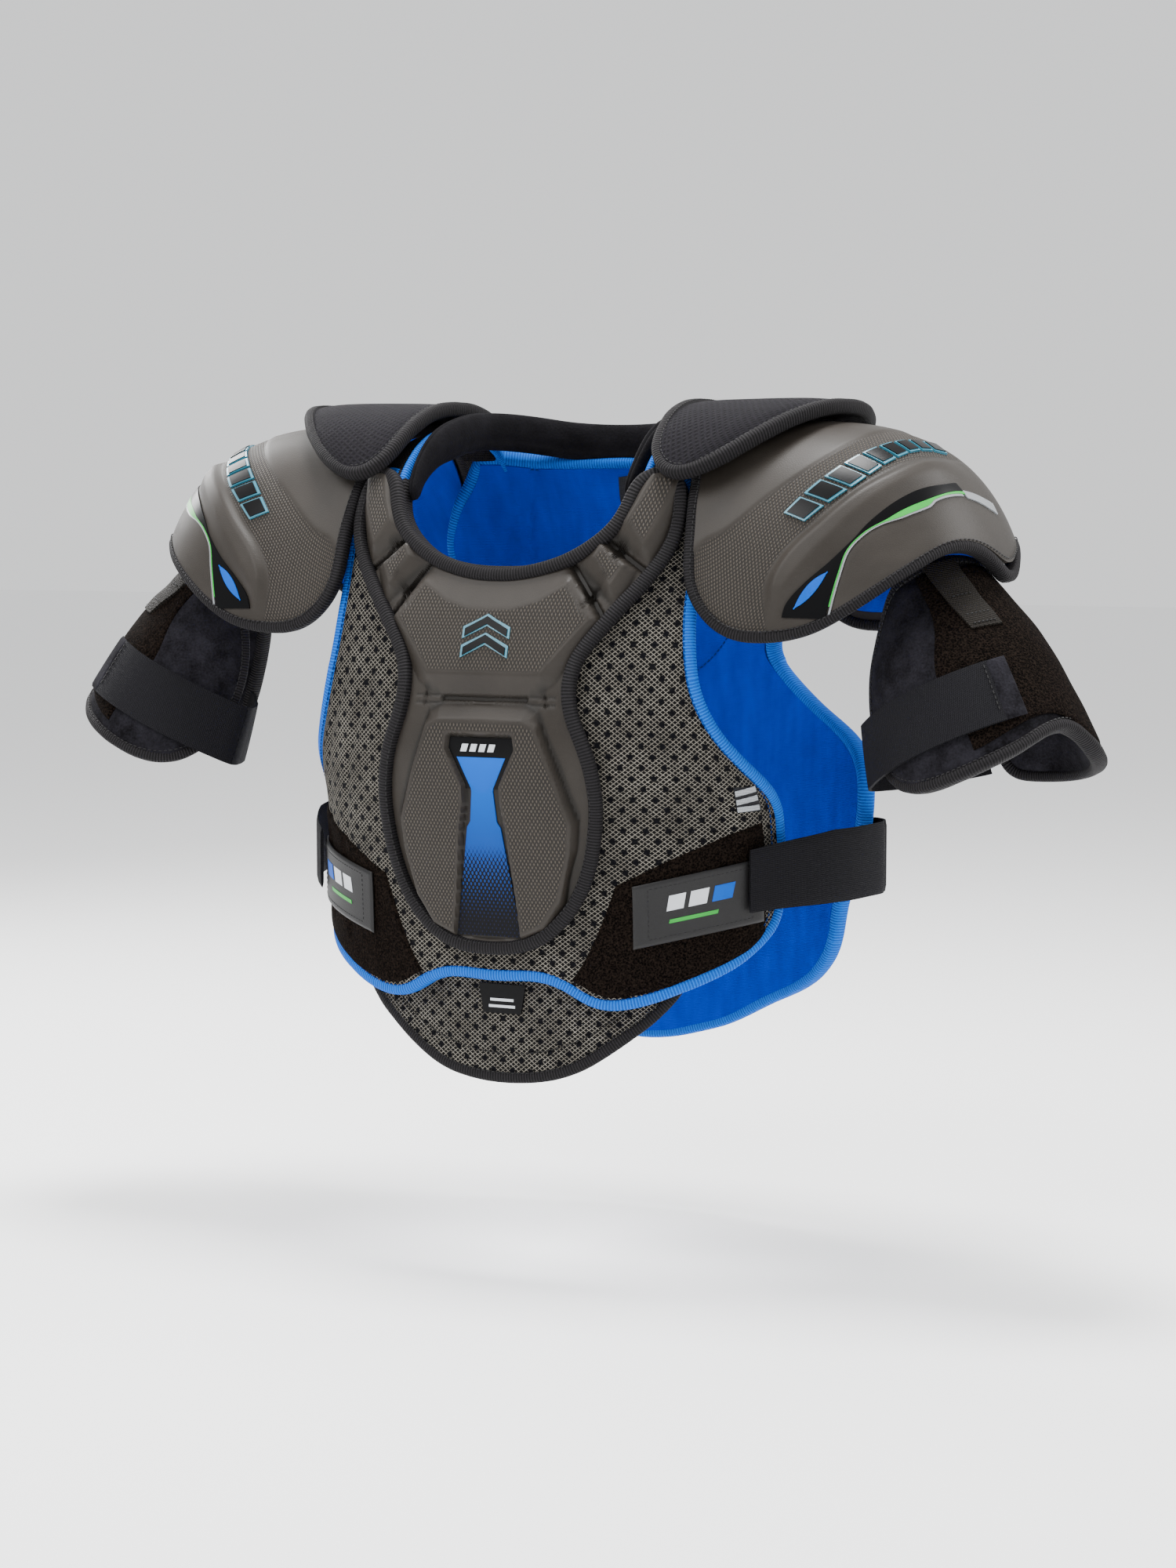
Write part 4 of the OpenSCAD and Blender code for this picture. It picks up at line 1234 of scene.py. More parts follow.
@dataclass
class ChestPlate:
    """The moulded foam chest plate with its badge and tape, sewn on the front panel."""

    bed: float = 10.2
    base: float = 12.9
    shield_rise: float = 5.8
    collar_rise: float = 5.2
    rib_rise: float = 5.6
    slot_depth: float = 3.0
    neck_rise: float = 1.6
    floor_rise: float = 1.6

    def height(self, x: Array, z: Array) -> Array:
        """Height of the plate's outside over the vest."""
        w = np.abs(x)
        rise = self.shield_rise * raised(SHIELD_FOOT, SHIELD_TOP, x, z)
        rise = rise + self.collar_rise * raised(HEX_FOOT, HEX_TOP, x, z)
        rise = rise + self.rib_rise * raised(RIB_FOOT, RIB_TOP, w, z)
        rise = rise + self.rib_rise * raised(STRAP_FOOT, STRAP_TOP, w, z)
        above = np.clip((z - 318) / 14, 0, 1) * np.clip((52 - w) / 8, 0, 1)
        rise = rise + self.neck_rise * above
        half = np.interp(z, *np.array(BADGE_HOLE).T)
        hole = np.clip((half - w) / 1.4, 0, 1) * np.clip((221.5 - z) / 1.6, 0, 1)
        hole = hole * np.clip((z - 95.5) / 1.5, 0, 1)
        rise = rise + hole * (self.floor - self.base - rise)
        slot = np.clip((1.9 - np.abs(z - 240.6)) / 1.2, 0, 1) * np.clip((29 - w) / 1.5, 0, 1)
        rise = rise - self.slot_depth * slot
        for line in (238.1, 242.3):
            rise = rise - 1.0 * np.clip(1 - np.abs(z - line) / 1.4, 0, 1) * np.clip((47 - w) / 2, 0, 1)
        for start, end, depth in (((47, 319), (71, 285), 4.2), ((62, 337), (90, 315.5), 4.0)):
            rise = rise - depth * np.clip(1 - (beside(start, end, w, z) - 0.8) / 1.4, 0, 1)
        return self.base + rise

    @property
    def floor(self) -> float:
        """Height of the badge's recess."""
        return self.base + self.floor_rise

    def texture(self, x: Array, z: Array) -> Array:
        """Where the foam's tops are pressed with pyramids."""
        w = np.abs(x)
        tops = [outside(SHIELD_TOP, x, z), outside(HEX_TOP, x, z), outside(RIB_TOP, w, z),
                outside(STRAP_TOP, w, z)]
        inside = np.clip((-np.min(tops, 0) - 1.5) / 1.2, 0, 1)
        near_badge = np.interp(z, *np.array(BADGE_HOLE).T) + 1.2
        return inside * np.clip((w - near_badge + 60 * (z > 223)) / 0.8, 0, 1)

    def build(self) -> None:
        """Builds and dresses the plate and all that is on it."""
        a, b = panel_grid(PLATE_WIDE, PLATE_BOTTOM, NECKLINE, 5, 95, 212)
        height = self.height(a, b)
        # the hollow mask sets where painted shade darkens the foam's grooves
        masks = {"texture": self.texture(a, b), "hollow": hollow(height)}
        plate = shell("chest_plate_foam", front_skin, (a, b), self.bed, height, masks=masks)
        put(plate, FOAM, "vest", "chest_plate")
        edge, inner = (panel_grid(PLATE_WIDE, PLATE_BOTTOM, NECKLINE, inset, 60, 90) for inset in (4, 6.7))
        hem("chest_plate", front_skin, edge, inner, (8.6, 9.6, 18.2), 3, 17.2, "vest", "chest_plate_binding")
        self.badge()
        self.emblem()

    def badge(self) -> None:
        """The long film badge: a fading blue face under a gloss black cap."""
        lift = self.floor + 0.15
        z = np.linspace(98.5, 208, 61)[:, None]
        x = np.interp(z, *np.array(BADGE_WIDE).T) * np.linspace(-1, 1, 15)[None, :]
        face = shell("chest_badge_face", front_skin, (x, z + 0 * x), lift - 0.5, lift + 0.9)
        put(face, BADGE, "vest", "chest_badge")
        z = np.linspace(189.5, 219, 26)[:, None]
        outer = np.interp(z, *np.array(BADGE_HOLE).T) - 1.3
        x = outer * np.linspace(-1, 1, 25)[None, :]
        put(shell("chest_badge_top", front_skin, (x, z + 0 * x), lift - 0.5, lift + 0.7), GLOSS, "vest")
        bars = []
        for index, (left, right) in enumerate(((-13, -9), (-7, -3), (-1, 3), (5, 9))):
            z = np.linspace(211.2, 215.6, 3)[:, None]
            x = np.linspace(left, right, 5)[None, :] + (z - 213) * 0.35
            bars.append(shell(f"bar_{index}", front_skin, (x, z + 0 * x), lift, lift + 0.95))
        put(joined("chest_badge_bars", bars), WHITE_PRINT, "vest")

    def emblem(self) -> None:
        """Two nested chevrons of gloss film with a metallic edge."""
        def chevron(rise: float, reach: float, thick: float, z0: float) -> Grid:
            s = np.linspace(-1, 1, 21)[None, :]
            t = np.linspace(0, 1, 5)[:, None]
            return reach * s + 0 * t, z0 + rise * (1 - np.abs(s)) + thick * t

        lift = self.base + self.collar_rise
        edge = [shell("edge", front_skin, chevron(7.5, 15.5, 7.0, z), lift - 0.4, lift + 0.6)
                for z in (262.5, 273.5)]
        put(joined("chest_emblem_edge", edge), TEAL, "vest", "chest_emblem")
        face = [shell("face", front_skin, chevron(7.4, 14.0, 4.6, z), lift, lift + 1.2)
                for z in (263.7, 274.7)]
        put(joined("chest_emblem_face", face), GLOSS, "vest")


# ---- front and back of the vest ---------------------------------------------------------------


SEWN_LINES = (((84, 250), (104, 200), (112, 150), (108, 90)), ((104, 255), (124, 205), (131, 160),
              (128, 100)))


@dataclass
class VestFront:
    """The mesh front panel with its lining, azure tape, loop patches and shoulder yokes."""

    lining_t: float = 1.8
    thick: float = 9.6
    tape_w: float = 8.4

    def padding(self, a: Array, b: Array) -> Array:
        """Height of the panel: padding pulled down along sewn lines and at its edges."""
        w = np.abs(a)
        edge = curve(b, FRONT_WIDE) - w
        high = self.thick - 2.4 * np.clip(1 - edge / 10, 0, 1) ** 2
        for line in SEWN_LINES:
            d = np.min([beside(p, q, w, b) for p, q in zip(line, line[1:])], 0)
            high = high - 1.1 * np.exp(-((d / 2.6) ** 2))
        return high + creases(a.shape, 0.22, 1, 14)

    def build(self) -> None:
        """Builds and dresses the front."""
        lining = panel_grid(FRONT_WIDE, FRONT_HEM, NECKLINE, 2, 45, 80)
        tricot = shell("front_lining_tricot", front_skin, lining, 0, self.lining_t)
        put(tricot, LINING, "vest", "front_lining")
        a, b = panel_grid(FRONT_WIDE, FRONT_HEM, NECKLINE, 1, 80, 150)
        panel = shell("front_panel_mesh", front_skin, (a, b), self.lining_t, self.padding(a, b))
        put(panel, MESH, "vest", "front_panel", fill=0.5)
        edge = panel_grid(FRONT_WIDE, FRONT_HEM, NECKLINE, 0.5, 60, 100)
        trim = tape("front_tape", front_skin, edge, self.tape_w, -0.3, 10.2, seed=11)
        put(trim, BLUE_TAPE, "vest", "front_binding")
        second_finish(trim, BLACK_TAPE, lambda c: c.z > 0.300 and abs(c.x) < 0.088)
        inner = even_loop(front_skin, edge_of(panel_grid(FRONT_WIDE, FRONT_HEM, NECKLINE, 3.2, 60, 100)), 1.5)
        put(stitches("front_stitches", front_skin, inner, 9.5), BLUE_THREAD, "vest")
        for side in Side:
            self.side_pieces(side)

    def side_pieces(self, side: Side) -> None:
        """The loop patch, yoke and label of one side."""
        t, s = np.linspace(0, 1, 40)[:, None], np.linspace(0, 1, 60)[None, :]
        x = (50 + 26 * t) * (1 - s) + 142.5 * s
        low, high = curve(x, FRONT_HEM) + 5.5, curve(x, ((50, 122), (76, 132), (105, 148), (145, 170)))
        z = low * (1 - t) + high * t
        lift = self.padding(x, z)
        high = lift + 1.5 + creases(x.shape, 0.15, 5, 4)
        patch = shell(f"fleece_patch_{side.word}", front_skin, (x, z), lift - 1.5, high, side, soft_rim=3)
        put(patch, FLEECE, "vest", f"loop_patch_{side.word}")
        angle = np.linspace(0, 1, 90)[:, None]
        a = np.linspace(84, 104, 18)[None, :]
        front, rear = yoke_angle(a, 374), 180 - yoke_angle(a, 385)
        b = front * (1 - angle) + rear * angle
        yoke = shell(f"yoke_mesh_{side.word}", yoke_skin, (a + 0 * b, b), 0.3, 7.2, side, soft_rim=4)
        put(yoke, YOKE_MESH, "vest", f"yoke_{side.word}", fill=0.5)
        line = np.linspace(0, 1, 60)
        b = yoke_angle(84, 366) * (1 - line) + (180 - yoke_angle(84, 380)) * line
        a = np.full_like(b, 82.5)
        base, up = yoke_skin(a, b), normal_of(yoke_skin, a, b)
        put(bead(f"yoke_tape_{side.word}", base + up * 3.4, up, 5.5, 8.0, side, 21), BLUE_TAPE, "vest")
        if side is Side.LEFT:
            x, z = block((134, 142.5), (176, 192), 8, 12)
            lift = self.padding(x, z)
            label = shell("size_label_satin", front_skin, (x, z), lift - 0.4, lift + 1.0)
            put(label, SATIN, "vest", "size_label")
            marks = []
            for index, low in enumerate((176.5, 182.0, 187.5)):
                x, z = block((134.3, 142.2), (low, low + 3.4), 4, 2)
                z = z + 0.35 * (x - 138) * (0.4 if index == 0 else 1)
                lift = self.padding(x, z)
                marks.append(shell(f"mark_{index}", front_skin, (x, z), lift + 0.6, lift + 1.15))
            put(joined("size_label_marks", marks), LABEL, "vest")


def yoke_angle(a: Number, z: float) -> Array:
    """Angle on the yoke at which it reaches a height."""
    left = 1 - (np.asarray(a, float) / 178) ** BULGE
    return np.degrees(np.arcsin(np.sqrt(np.clip(((z - 200) / 210) ** 4 / left, 0, 1))))


def bead(name: str, centre: Array, up: Array, wide: float, thick: float, side: Side,
         seed: int) -> bpy.types.Object:
    """An open length of rounded tape.

    Args:
        name: The piece's name.
        centre: Its middle line.
        up: Its outward direction at each point.
        wide: Its width.
        thick: Its thickness along up.
        side: The side it is on.
        seed: Number that sets its small waves.

    Returns:
        The object.
    """
    way = unit(np.gradient(centre, axis=0))
    out = unit(np.cross(way, up))
    angle = np.linspace(0, 2 * math.pi, 14, endpoint=False)
    swell_by = 1 + wander(len(centre), 20, 0.04, seed)
    flat, tall = np.cos(angle) * wide / 2, np.sin(angle) * thick / 2
    section = out[:, None] * flat[None, :, None] + up[:, None] * tall[None, :, None]
    rings = centre[:, None] + section * swell_by[:, None, None]
    return rings_to_piece(name, rings, run_of(centre), False, side)


def strip(name: str, centre: Array, across: Array, wide: Number, thick: float,
          side: Side) -> bpy.types.Object:
    """A flat strap with rounded edges.

    Args:
        name: The piece's name.
        centre: Its middle line.
        across: Direction of its width at each point.
        wide: Its width, one number or one for each point.
        thick: Its thickness.
        side: The side it is on.

    Returns:
        The object.
    """
    way = unit(np.gradient(centre, axis=0))
    up = unit(np.cross(across, way))
    one = np.linspace(-1, 1, 13)
    u = np.concatenate([one, -one])
    v = np.sqrt(np.clip(1 - u**16, 0.09, 1)) * np.repeat([-1, 1], 13)
    half = np.broadcast_to(np.asarray(wide, float) / 2, len(centre))
    rings = (
        centre[:, None] + across[:, None] * (u[None, :] * half[:, None])[..., None]
        + up[:, None] * (v * thick / 2)[None, :, None]
    )
    along = run_of(centre)
    piece = rings_to_piece(name, rings, along, False, side)
    flat = np.broadcast_arrays(along[:, None], u[None, :] * half[:, None])
    set_uv(piece.data, np.stack(flat, -1).reshape(-1, 2) * MM)
    return piece


COLLAR_LINE = ((-74, -80, 362), (-75, -68, 378), (-75.2, -48, 392.2), (-74.6, -22, 400.4), (-75.4, 5, 404.7),
               (-71.8, 32, 405.6), (-60, 55, 404), (-34, 71, 400), (0, 76, 398.5))


@dataclass
class VestBack:
    """The mesh back panel with its blue lining, azure tape, spine plate, collar and belts' rear ends."""

    lining_t: float = 1.8
    thick: float = 9.6
    tape_w: float = 8.4

    def spine_height(self, x: Array, z: Array) -> Array:
        """Height of the spine plate: raised segments with smooth bevels between them."""
        w = np.abs(x)
        rise = np.zeros_like(x)
        for low, high in ((44, 96), (104, 152), (160, 206), (214, 262), (270, 330)):
            mid, half = (low + high) / 2, (high - low) / 2
            reach = curve(np.full_like(z, mid), SPINE_WIDE) - 11
            off = np.abs(z - mid)
            d = np.maximum(w - reach + off * 0.12, off - half + np.maximum(w - reach * 0.6, 0) * 0.5)
            rise = np.maximum(rise, np.clip(-d / 5, 0, 1))
        return 12.9 + 4.4 * rise

    def build(self) -> None:
        """Builds and dresses the back."""
        a, b = panel_grid(BACK_WIDE, BACK_HEM, BACK_NECK, 2, 70, 150)
        seam = np.abs(np.hypot(a / 78, (b - 330) / 92) - 1) * 78
        low = -0.8 + 1.9 * np.exp(-((seam / 2.2) ** 2)) + creases(a.shape, 0.25, 8, 16)
        put(shell("back_lining_tricot", back_skin, (a, b), low, self.lining_t), LINING, "vest", "back_lining")
        turn = np.radians(np.linspace(195, 345, 200))
        line = 78 * np.cos(turn), 330 + 92 * np.sin(turn)
        put(stitches("back_lining_seam", back_skin, line, 0.6, closed=False), BLUE_THREAD, "vest")
        a, b = panel_grid(BACK_WIDE, BACK_HEM, BACK_NECK, 1, 80, 170)
        w = np.abs(a)
        high = self.thick - 2.4 * np.clip(1 - (curve(b, BACK_WIDE) - w) / 10, 0, 1) ** 2
        for x0 in (78, 112):
            groove = np.exp(-(((w - x0 - 8 * np.sin(b / 55)) / 2.4) ** 2))
            high = high - 1.1 * groove * np.clip((210 - b) / 30, 0, 1)
        high = high + creases(a.shape, 0.22, 2, 14)
        panel = shell("back_panel_mesh", back_skin, (a, b), self.lining_t, high)
        put(panel, MESH, "vest", "back_panel", fill=0.5)
        edge, inner = (panel_grid(BACK_WIDE, BACK_HEM, BACK_NECK, inset, 70, 110) for inset in (0.5, 3.2))
        trim = tape("back_tape", back_skin, edge, self.tape_w, -0.6, 10.2, seed=13)
        put(trim, BLUE_TAPE, "vest", "back_binding")
        line = even_loop(back_skin, edge_of(inner), 1.5)
        rows = [stitches("row", back_skin, line, height) for height in (9.5, -0.3)]
        put(joined("back_stitches", rows), BLUE_THREAD, "vest")
        self.spine()
        self.collar()
        self.small_pieces()

    def spine(self) -> None:
        """The moulded spine plate and its tape."""
        a, b = panel_grid(SPINE_WIDE, SPINE_BOTTOM, SPINE_TOP, 1.5, 45, 170)
        high = self.spine_height(a, b)
        masks = {"texture": np.clip((high - 17) / 0.3, 0, 1)}
        plate = shell("spine_plate_foam", back_skin, (a, b), 9.9, high, masks=masks)
        put(plate, FOAM, "vest", "spine_plate")
        edge, inner = (panel_grid(SPINE_WIDE, SPINE_BOTTOM, SPINE_TOP, inset, 40, 80) for inset in (0, 2.6))
        hem("spine", back_skin, edge, inner, (8, 9.6, 18), 17, 17.1, "vest", "spine_plate_binding")

    def collar(self) -> None:
        """The padded collar round the back of the neck, with a seam along its top."""
        half = np.array(COLLAR_LINE, float)
        t, centre = smooth_path(np.concatenate([half, half[-2::-1] * [-1, 1, 1]]), 130)
        way = unit(np.gradient(centre, axis=0))
        out = unit(np.cross(way, [0, 0, 1.0]))
        up = unit(np.cross(out, way))
        angle = np.linspace(0, 2 * math.pi, 36, endpoint=False)
        c, s = np.cos(angle), np.sin(angle)
        reach = np.minimum(t, t[-1] - t)
        ends = np.sqrt(np.clip(1 - (1 - np.clip(reach / 9, 0, 1)) ** 2, 0.05, 1))
        ends = ends * (0.55 + 0.45 * ease(reach / 70))
        flat, tall = np.sign(c) * np.abs(c) ** 0.9 * 5.3, np.sign(s) * np.abs(s) ** 0.75 * 12.4
        top_seam, low_seam = ((angle - math.pi / 2) / 0.16) ** 2, ((s + 0.35) / 0.14) ** 2
        pinch = 1 - 0.16 * np.exp(-top_seam) - 0.12 * np.exp(-low_seam)
        section = out[:, None] * (flat * pinch)[None, :, None] + up[:, None] * (tall * pinch)[None, :, None]
        rings = centre[:, None] + section * ends[:, None, None]
        piece = rings_to_piece("collar_neoprene", rings, t, False, Side.LEFT, 70)
        swell(piece, "collar", Side.LEFT, 2.0, 0.9, 0.004)
        put(piece, NEOPRENE, "vest", "collar_pad", fill=0.7)

    def small_pieces(self) -> None:
        """The hanging loop, neck patch and the belts' sewn rear ends."""
        t = np.linspace(0, 1, 40)
        z = 377 - 17 * np.sin(math.pi * t) ** 0.7
        centre = np.stack([4 + 2.5 * t, 66.5 + 3.0 * t, z], -1)
        across = np.tile(unit(np.array([1.0, 0.0, 0.12])), (40, 1))
        put(strip("hang_loop_tape", centre, across, 12.0, 1.2, Side.LEFT), SATIN, "vest", "hang_loop")
        a, b = block((-42, -12), (334, 364), 16, 16)
        hexagon = np.abs(a + 27) / 15 + np.abs(b - 349) / 30
        squeeze = 1 / np.maximum(1, hexagon / 1.02)
        a, b = -27 + (a + 27) * squeeze, 349 + (b - 349) * squeeze
        put(shell("neck_patch_edge", back_skin, (a, b), -1.3, -0.4), WHITE_PRINT, "vest", "neck_patch")
        a, b = -27 + (a + 27) * 0.88, 349 + (b - 349) * 0.88
        put(shell("neck_patch_face", back_skin, (a, b), -1.55, -0.6), SATIN, "vest")
        for side in Side:
            x = -np.linspace(68, 168, 50)
            flat = lifted(back_skin, x, np.full(50, 139.0), 11.2)
            turn = np.array(((177.5, 67, 139), (184, 62.5, 139), (188.5, 57, 139), (190.3, 50.3, 139)), float)
            centre = smooth_path(np.concatenate([flat, turn]), 90)[1]
            across = np.tile([0, 0, 1.0], (90, 1))
            belt = strip(f"belt_rear_elastic_{side.word}", centre, across, 45, 2.0, side)
            put(belt, ELASTIC, "vest", f"belt_rear_{side.word}")
            corners = ((-72, 120), (-72, 158), (-84, 158), (-84, 120), (-72, 120))
            legs = [np.linspace(p, q, n) for p, q, n in zip(corners, corners[1:], (30, 12, 30, 12))]
            x, z = np.concatenate(legs).T
            put(stitches(f"belt_rear_stitches_{side.word}", back_skin, (x, z), 12.4, side), THREAD, "vest")


@dataclass
class BellyPad:
    """The mesh pad that hangs under the vest's front, and slides to suit the player's height."""

    low: float = -9.0
    high: float = -1.9

    def build(self) -> None:
        """Builds and dresses the pad."""
        a, b = panel_grid(BELLY_WIDE, BELLY_BOTTOM, BELLY_TOP, 1, 70, 80)
        w = np.abs(a)
        seam = np.abs(np.hypot(a / 96, (b - 95) / 72) - 1) * 80
        high = self.high - 1.0 * np.exp(-((seam / 1.9) ** 2)) * (b < 95) + creases(a.shape, 0.2, 3, 12)
        low = self.low + 1.5 * np.exp(-((seam / 2.4) ** 2)) * (b < 95)
        pad = shell("belly_pad_mesh", front_skin, (a, b), low, high)
        put(pad, MESH, "belly_pad", "belly_pad", fill=0.5)
        edge, inner = (panel_grid(BELLY_WIDE, BELLY_BOTTOM, BELLY_TOP, inset, 60, 70) for inset in (0, 2.8))
        hem("belly", front_skin, edge, inner, (8, -9.6, -1.0), 19, -1.6, "belly_pad", "belly_binding")
        angle = np.radians(np.linspace(200, 340, 160))
        line = 96 * np.cos(angle), 95 + 72 * np.sin(angle)
        put(stitches("belly_seam", front_skin, line, self.high - 0.7, closed=False), THREAD, "belly_pad")
        z = np.linspace(48, 66, 10)[:, None]
        x = (13 + (z - 48) / 6) * np.linspace(-1, 1, 21)[None, :]
        badge = shell("belly_badge_film", front_skin, (x, z + 0 * x), -2.4, -0.7)
        put(badge, GLOSS, "belly_pad", "belly_badge")
        bars = []
        for index, level in enumerate((51.5, 55.5)):
            z = np.linspace(level, level + 1.6, 3)[:, None]
            x = np.linspace(-9 + index, 9 - index, 9)[None, :]
            bars.append(shell(f"bar_{index}", front_skin, (x + 0 * z, z + 0 * x), -1.2, -0.55))
        put(joined("belly_badge_bars", bars), WHITE_PRINT, "belly_pad")


# ---- shoulders -------------------------------------------------------------------------------

CAP_TEXTURE_TOP = ((20, 118), (26, 126), (30, 141), (39, 160), (48, 178), (60, 195), (74, 207), (87, 212),
                   (100, 214))
CAP_RIDGE = ((6, 174), (16, 172), (24, 181), (33, 198), (44, 215), (56, 230.5), (72, 243), (90, 252))
ACCENT_INNER = ((6, 181), (11, 184), (16, 194), (22, 208), (29, 220), (34, 226), (42, 235.5), (52, 246),
                (65, 257), (80, 264))
ACCENT_OUTER = ((6, 207), (20, 214), (26, 217.5), (32, 225.7), (39, 238), (54, 254.7), (75, 266), (93, 273))
EMBLEM_INNER = ((32, 172), (42, 187), (55, 205), (68, 219), (82, 229), (95, 236))
EMBLEM_OUTER = ((26, 176), (36, 196), (48, 216), (63, 230), (79, 239), (95, 247))


@dataclass
class ShoulderCap:
    """A moulded foam shoulder cap with its lining, tape and film accents."""

    side: Side
    thick: float = 5.5
    ridge_rise: float = 3.0
    band_step: float = 0.9

    @property
    def body(self) -> str:
        """The body that the cap moves as."""
        return f"shoulder_cap_{self.side.word}"

    def height(self, a: Array, b: Array) -> Array:
        """Height of the cap's outside over its plain vault."""
        ridge, accent = curve(b, CAP_RIDGE), curve(b, ACCENT_INNER)
        fade = np.clip((92 - b) / 22, 0, 1) * np.clip((b - 7) / 8, 0, 1)
        climb = ease((a - ridge + 1) / 6)
        drop = ease((accent + 0.5 - a) / np.maximum((accent - ridge) * 0.55, 4))
        rise = self.ridge_rise * np.minimum(climb, drop) * fade
        band = np.clip((a - curve(b, CAP_TEXTURE_TOP)) / 2.5, 0, 1) * np.clip((ridge - a) / 2.5, 0, 1)
        band = band * np.clip((104 - b) / 8, 0, 1)
        lower = 0.8 * ease((a - curve(b, ACCENT_OUTER)) / 5) * np.clip((92 - b) / 20, 0, 1)
        return rise - self.band_step * band + lower * 0.5

    def texture(self, a: Array, b: Array) -> Array:
        """Where the foam is pressed with pyramids."""
        above, below = a - curve(b, CAP_TEXTURE_TOP) - 2, curve(b, CAP_RIDGE) - a - 2
        band = np.clip(above / 1.5, 0, 1) * np.clip(below / 1.5, 0, 1)
        return band * np.clip((100 - b) / 3, 0, 1)

    def film(self, name: str, grid: Grid, low: float, high: float) -> bpy.types.Object:
        """A piece of film on the cap, between two heights over its surface."""
        lift = self.height(*grid)
        return shell(name, cap_skin, grid, lift + low, lift + high, self.side)

    def build(self) -> None:
        """Builds and dresses the cap."""
        word = self.side.word
        a, b = cap_grid(0.012, 0.008, 110, 170)
        cap = shell(f"cap_foam_{word}", cap_skin, (a, b), -self.thick, self.height(a, b), self.side,
                    masks={"texture": self.texture(a, b)})
        put(cap, FOAM, self.body, f"cap_shell_{word}")
        liner = cap_grid(0.03, 0.02, 50, 70)
        low = -10.2 + creases(liner[0].shape, 0.2, 4)
        lining = shell(f"cap_lining_{word}", cap_skin, liner, low, -self.thick - 0.1, self.side, soft_rim=4)
        put(lining, LINING, self.body, f"cap_liner_{word}", fill=0.4)
        edge, inner = cap_grid(0, 0, 60, 100), cap_grid(0.014, 0.007, 60, 100)
        sizes, node = (7.4, -8.2, 1.2), f"cap_binding_{word}"
        hem("cap", cap_skin, edge, inner, sizes, 23, 0.9, self.body, node, self.side)
        self.accents()
        self.emblem()

    def accents(self) -> None:
        """The gloss insert with its lozenge, and the green and silver lines beside it."""
        word = self.side.word
        insert = self.film("accent", grid_between(ACCENT_INNER, ACCENT_OUTER, 8, 74, 14, 70), -0.6, 0.9)
        insert.name = f"cap_insert_{word}"
        put(insert, GLOSS, self.body, f"cap_accent_{word}")
        wide = ((10, 0.9), (36, 1.0), (41, 3.6), (50, 3.6), (56, 1.2), (74, 1.2))
        green_in = tuple((b, x + 0.2) for b, x in ACCENT_OUTER)
        green_out = tuple((b, x + 0.2 + float(curve(b, wide))) for b, x in refined(ACCENT_OUTER))
        line = grid_between(green_in, green_out, 11, 74, 4, 120)
        line = self.film(f"cap_line_green_{word}", line, -0.5, 0.9)
        put(line, GREEN_FILM, self.body, f"cap_stripe_{word}")
        edge_out = tuple((b, x + 1.1) for b, x in green_out)
        end_in, end_out = (tuple((b, x + out) for b, x in ACCENT_OUTER) for out in (-0.4, 3.2))
        silver = [self.film("edge", grid_between(green_out, edge_out, 9, 72, 2, 120), -0.5, 0.7),
                  self.film("end", grid_between(end_in, end_out, 73.5, 94, 5, 30), -0.5, 0.8)]
        put(joined(f"cap_line_silver_{word}", silver), SILVER_FILM, self.body)
        t, s = np.linspace(-1, 1, 10)[:, None], np.linspace(0, 1, 24)[None, :]
        fat = np.sin(math.pi * np.clip(s * 1.06 - 0.03, 0.02, 0.98)) ** 0.8
        b = 10 + 9.5 * s + 1.1 * t * fat
        a = 189 + 19 * s - 1.5 * t * fat
        lozenge = self.film(f"cap_lozenge_{word}", (a + 0 * b, b), 0.4, 1.4)
        put(lozenge, BLUE_FILM, self.body, f"cap_badge_{word}")

    def emblem(self) -> None:
        """A row of slanted gloss bars with a metallic edge, in a gentle arc over the cap."""
        word = self.side.word
        edges, faces = [], []
        step = 60 / 9
        for index in range(9):
            start = 34 + step * index
            for margin, pile, low, high in ((0.0, edges, -0.2, 1.3), (0.17, faces, 0.6, 1.9)):
                t = np.linspace(margin * 0.45, 1 - margin * 0.45, 7)[:, None]
                s = np.linspace(margin * 0.6, 1 - margin * 0.6, 9)[None, :]
                b = start + step * 0.80 * t + 2.2 * (0.5 - s)
                a = curve(b, EMBLEM_INNER) * (1 - s) + curve(b, EMBLEM_OUTER) * s
                pile.append(self.film(f"emblem_{index}_{margin}", (a, b), low, high))
        put(joined(f"cap_emblem_edge_{word}", edges), TEAL, self.body, f"cap_emblem_{word}")
        put(joined(f"cap_emblem_face_{word}", faces), GLOSS, self.body)


@dataclass
class ShoulderFlap:
    """The padded cloth flap over a cap's top."""

    side: Side

    def build(self) -> None:
        """Builds and dresses the flap."""
        word, body = self.side.word, f"shoulder_flap_{self.side.word}"
        a, b = flap_grid(3, 70, 90)
        high = 7.2 + pillow(*a.shape, 20, 1.8) + creases(a.shape, 0.2, 6, 10)
        flap = shell(f"flap_cloth_{word}", flap_bed, (a, b), 0.4, high, self.side)
        swell(flap, "flap", self.side, 3.0, 1.8)
        put(flap, FLAP_CLOTH, body, f"flap_{word}", fill=0.6)
        edge, inner = flap_grid(2.0, 50, 60), flap_grid(4.4, 50, 60)
        hem("flap", flap_bed, edge, inner, (7.4, 0, 9.8), 29, 9.2, body, f"flap_binding_{word}", self.side)


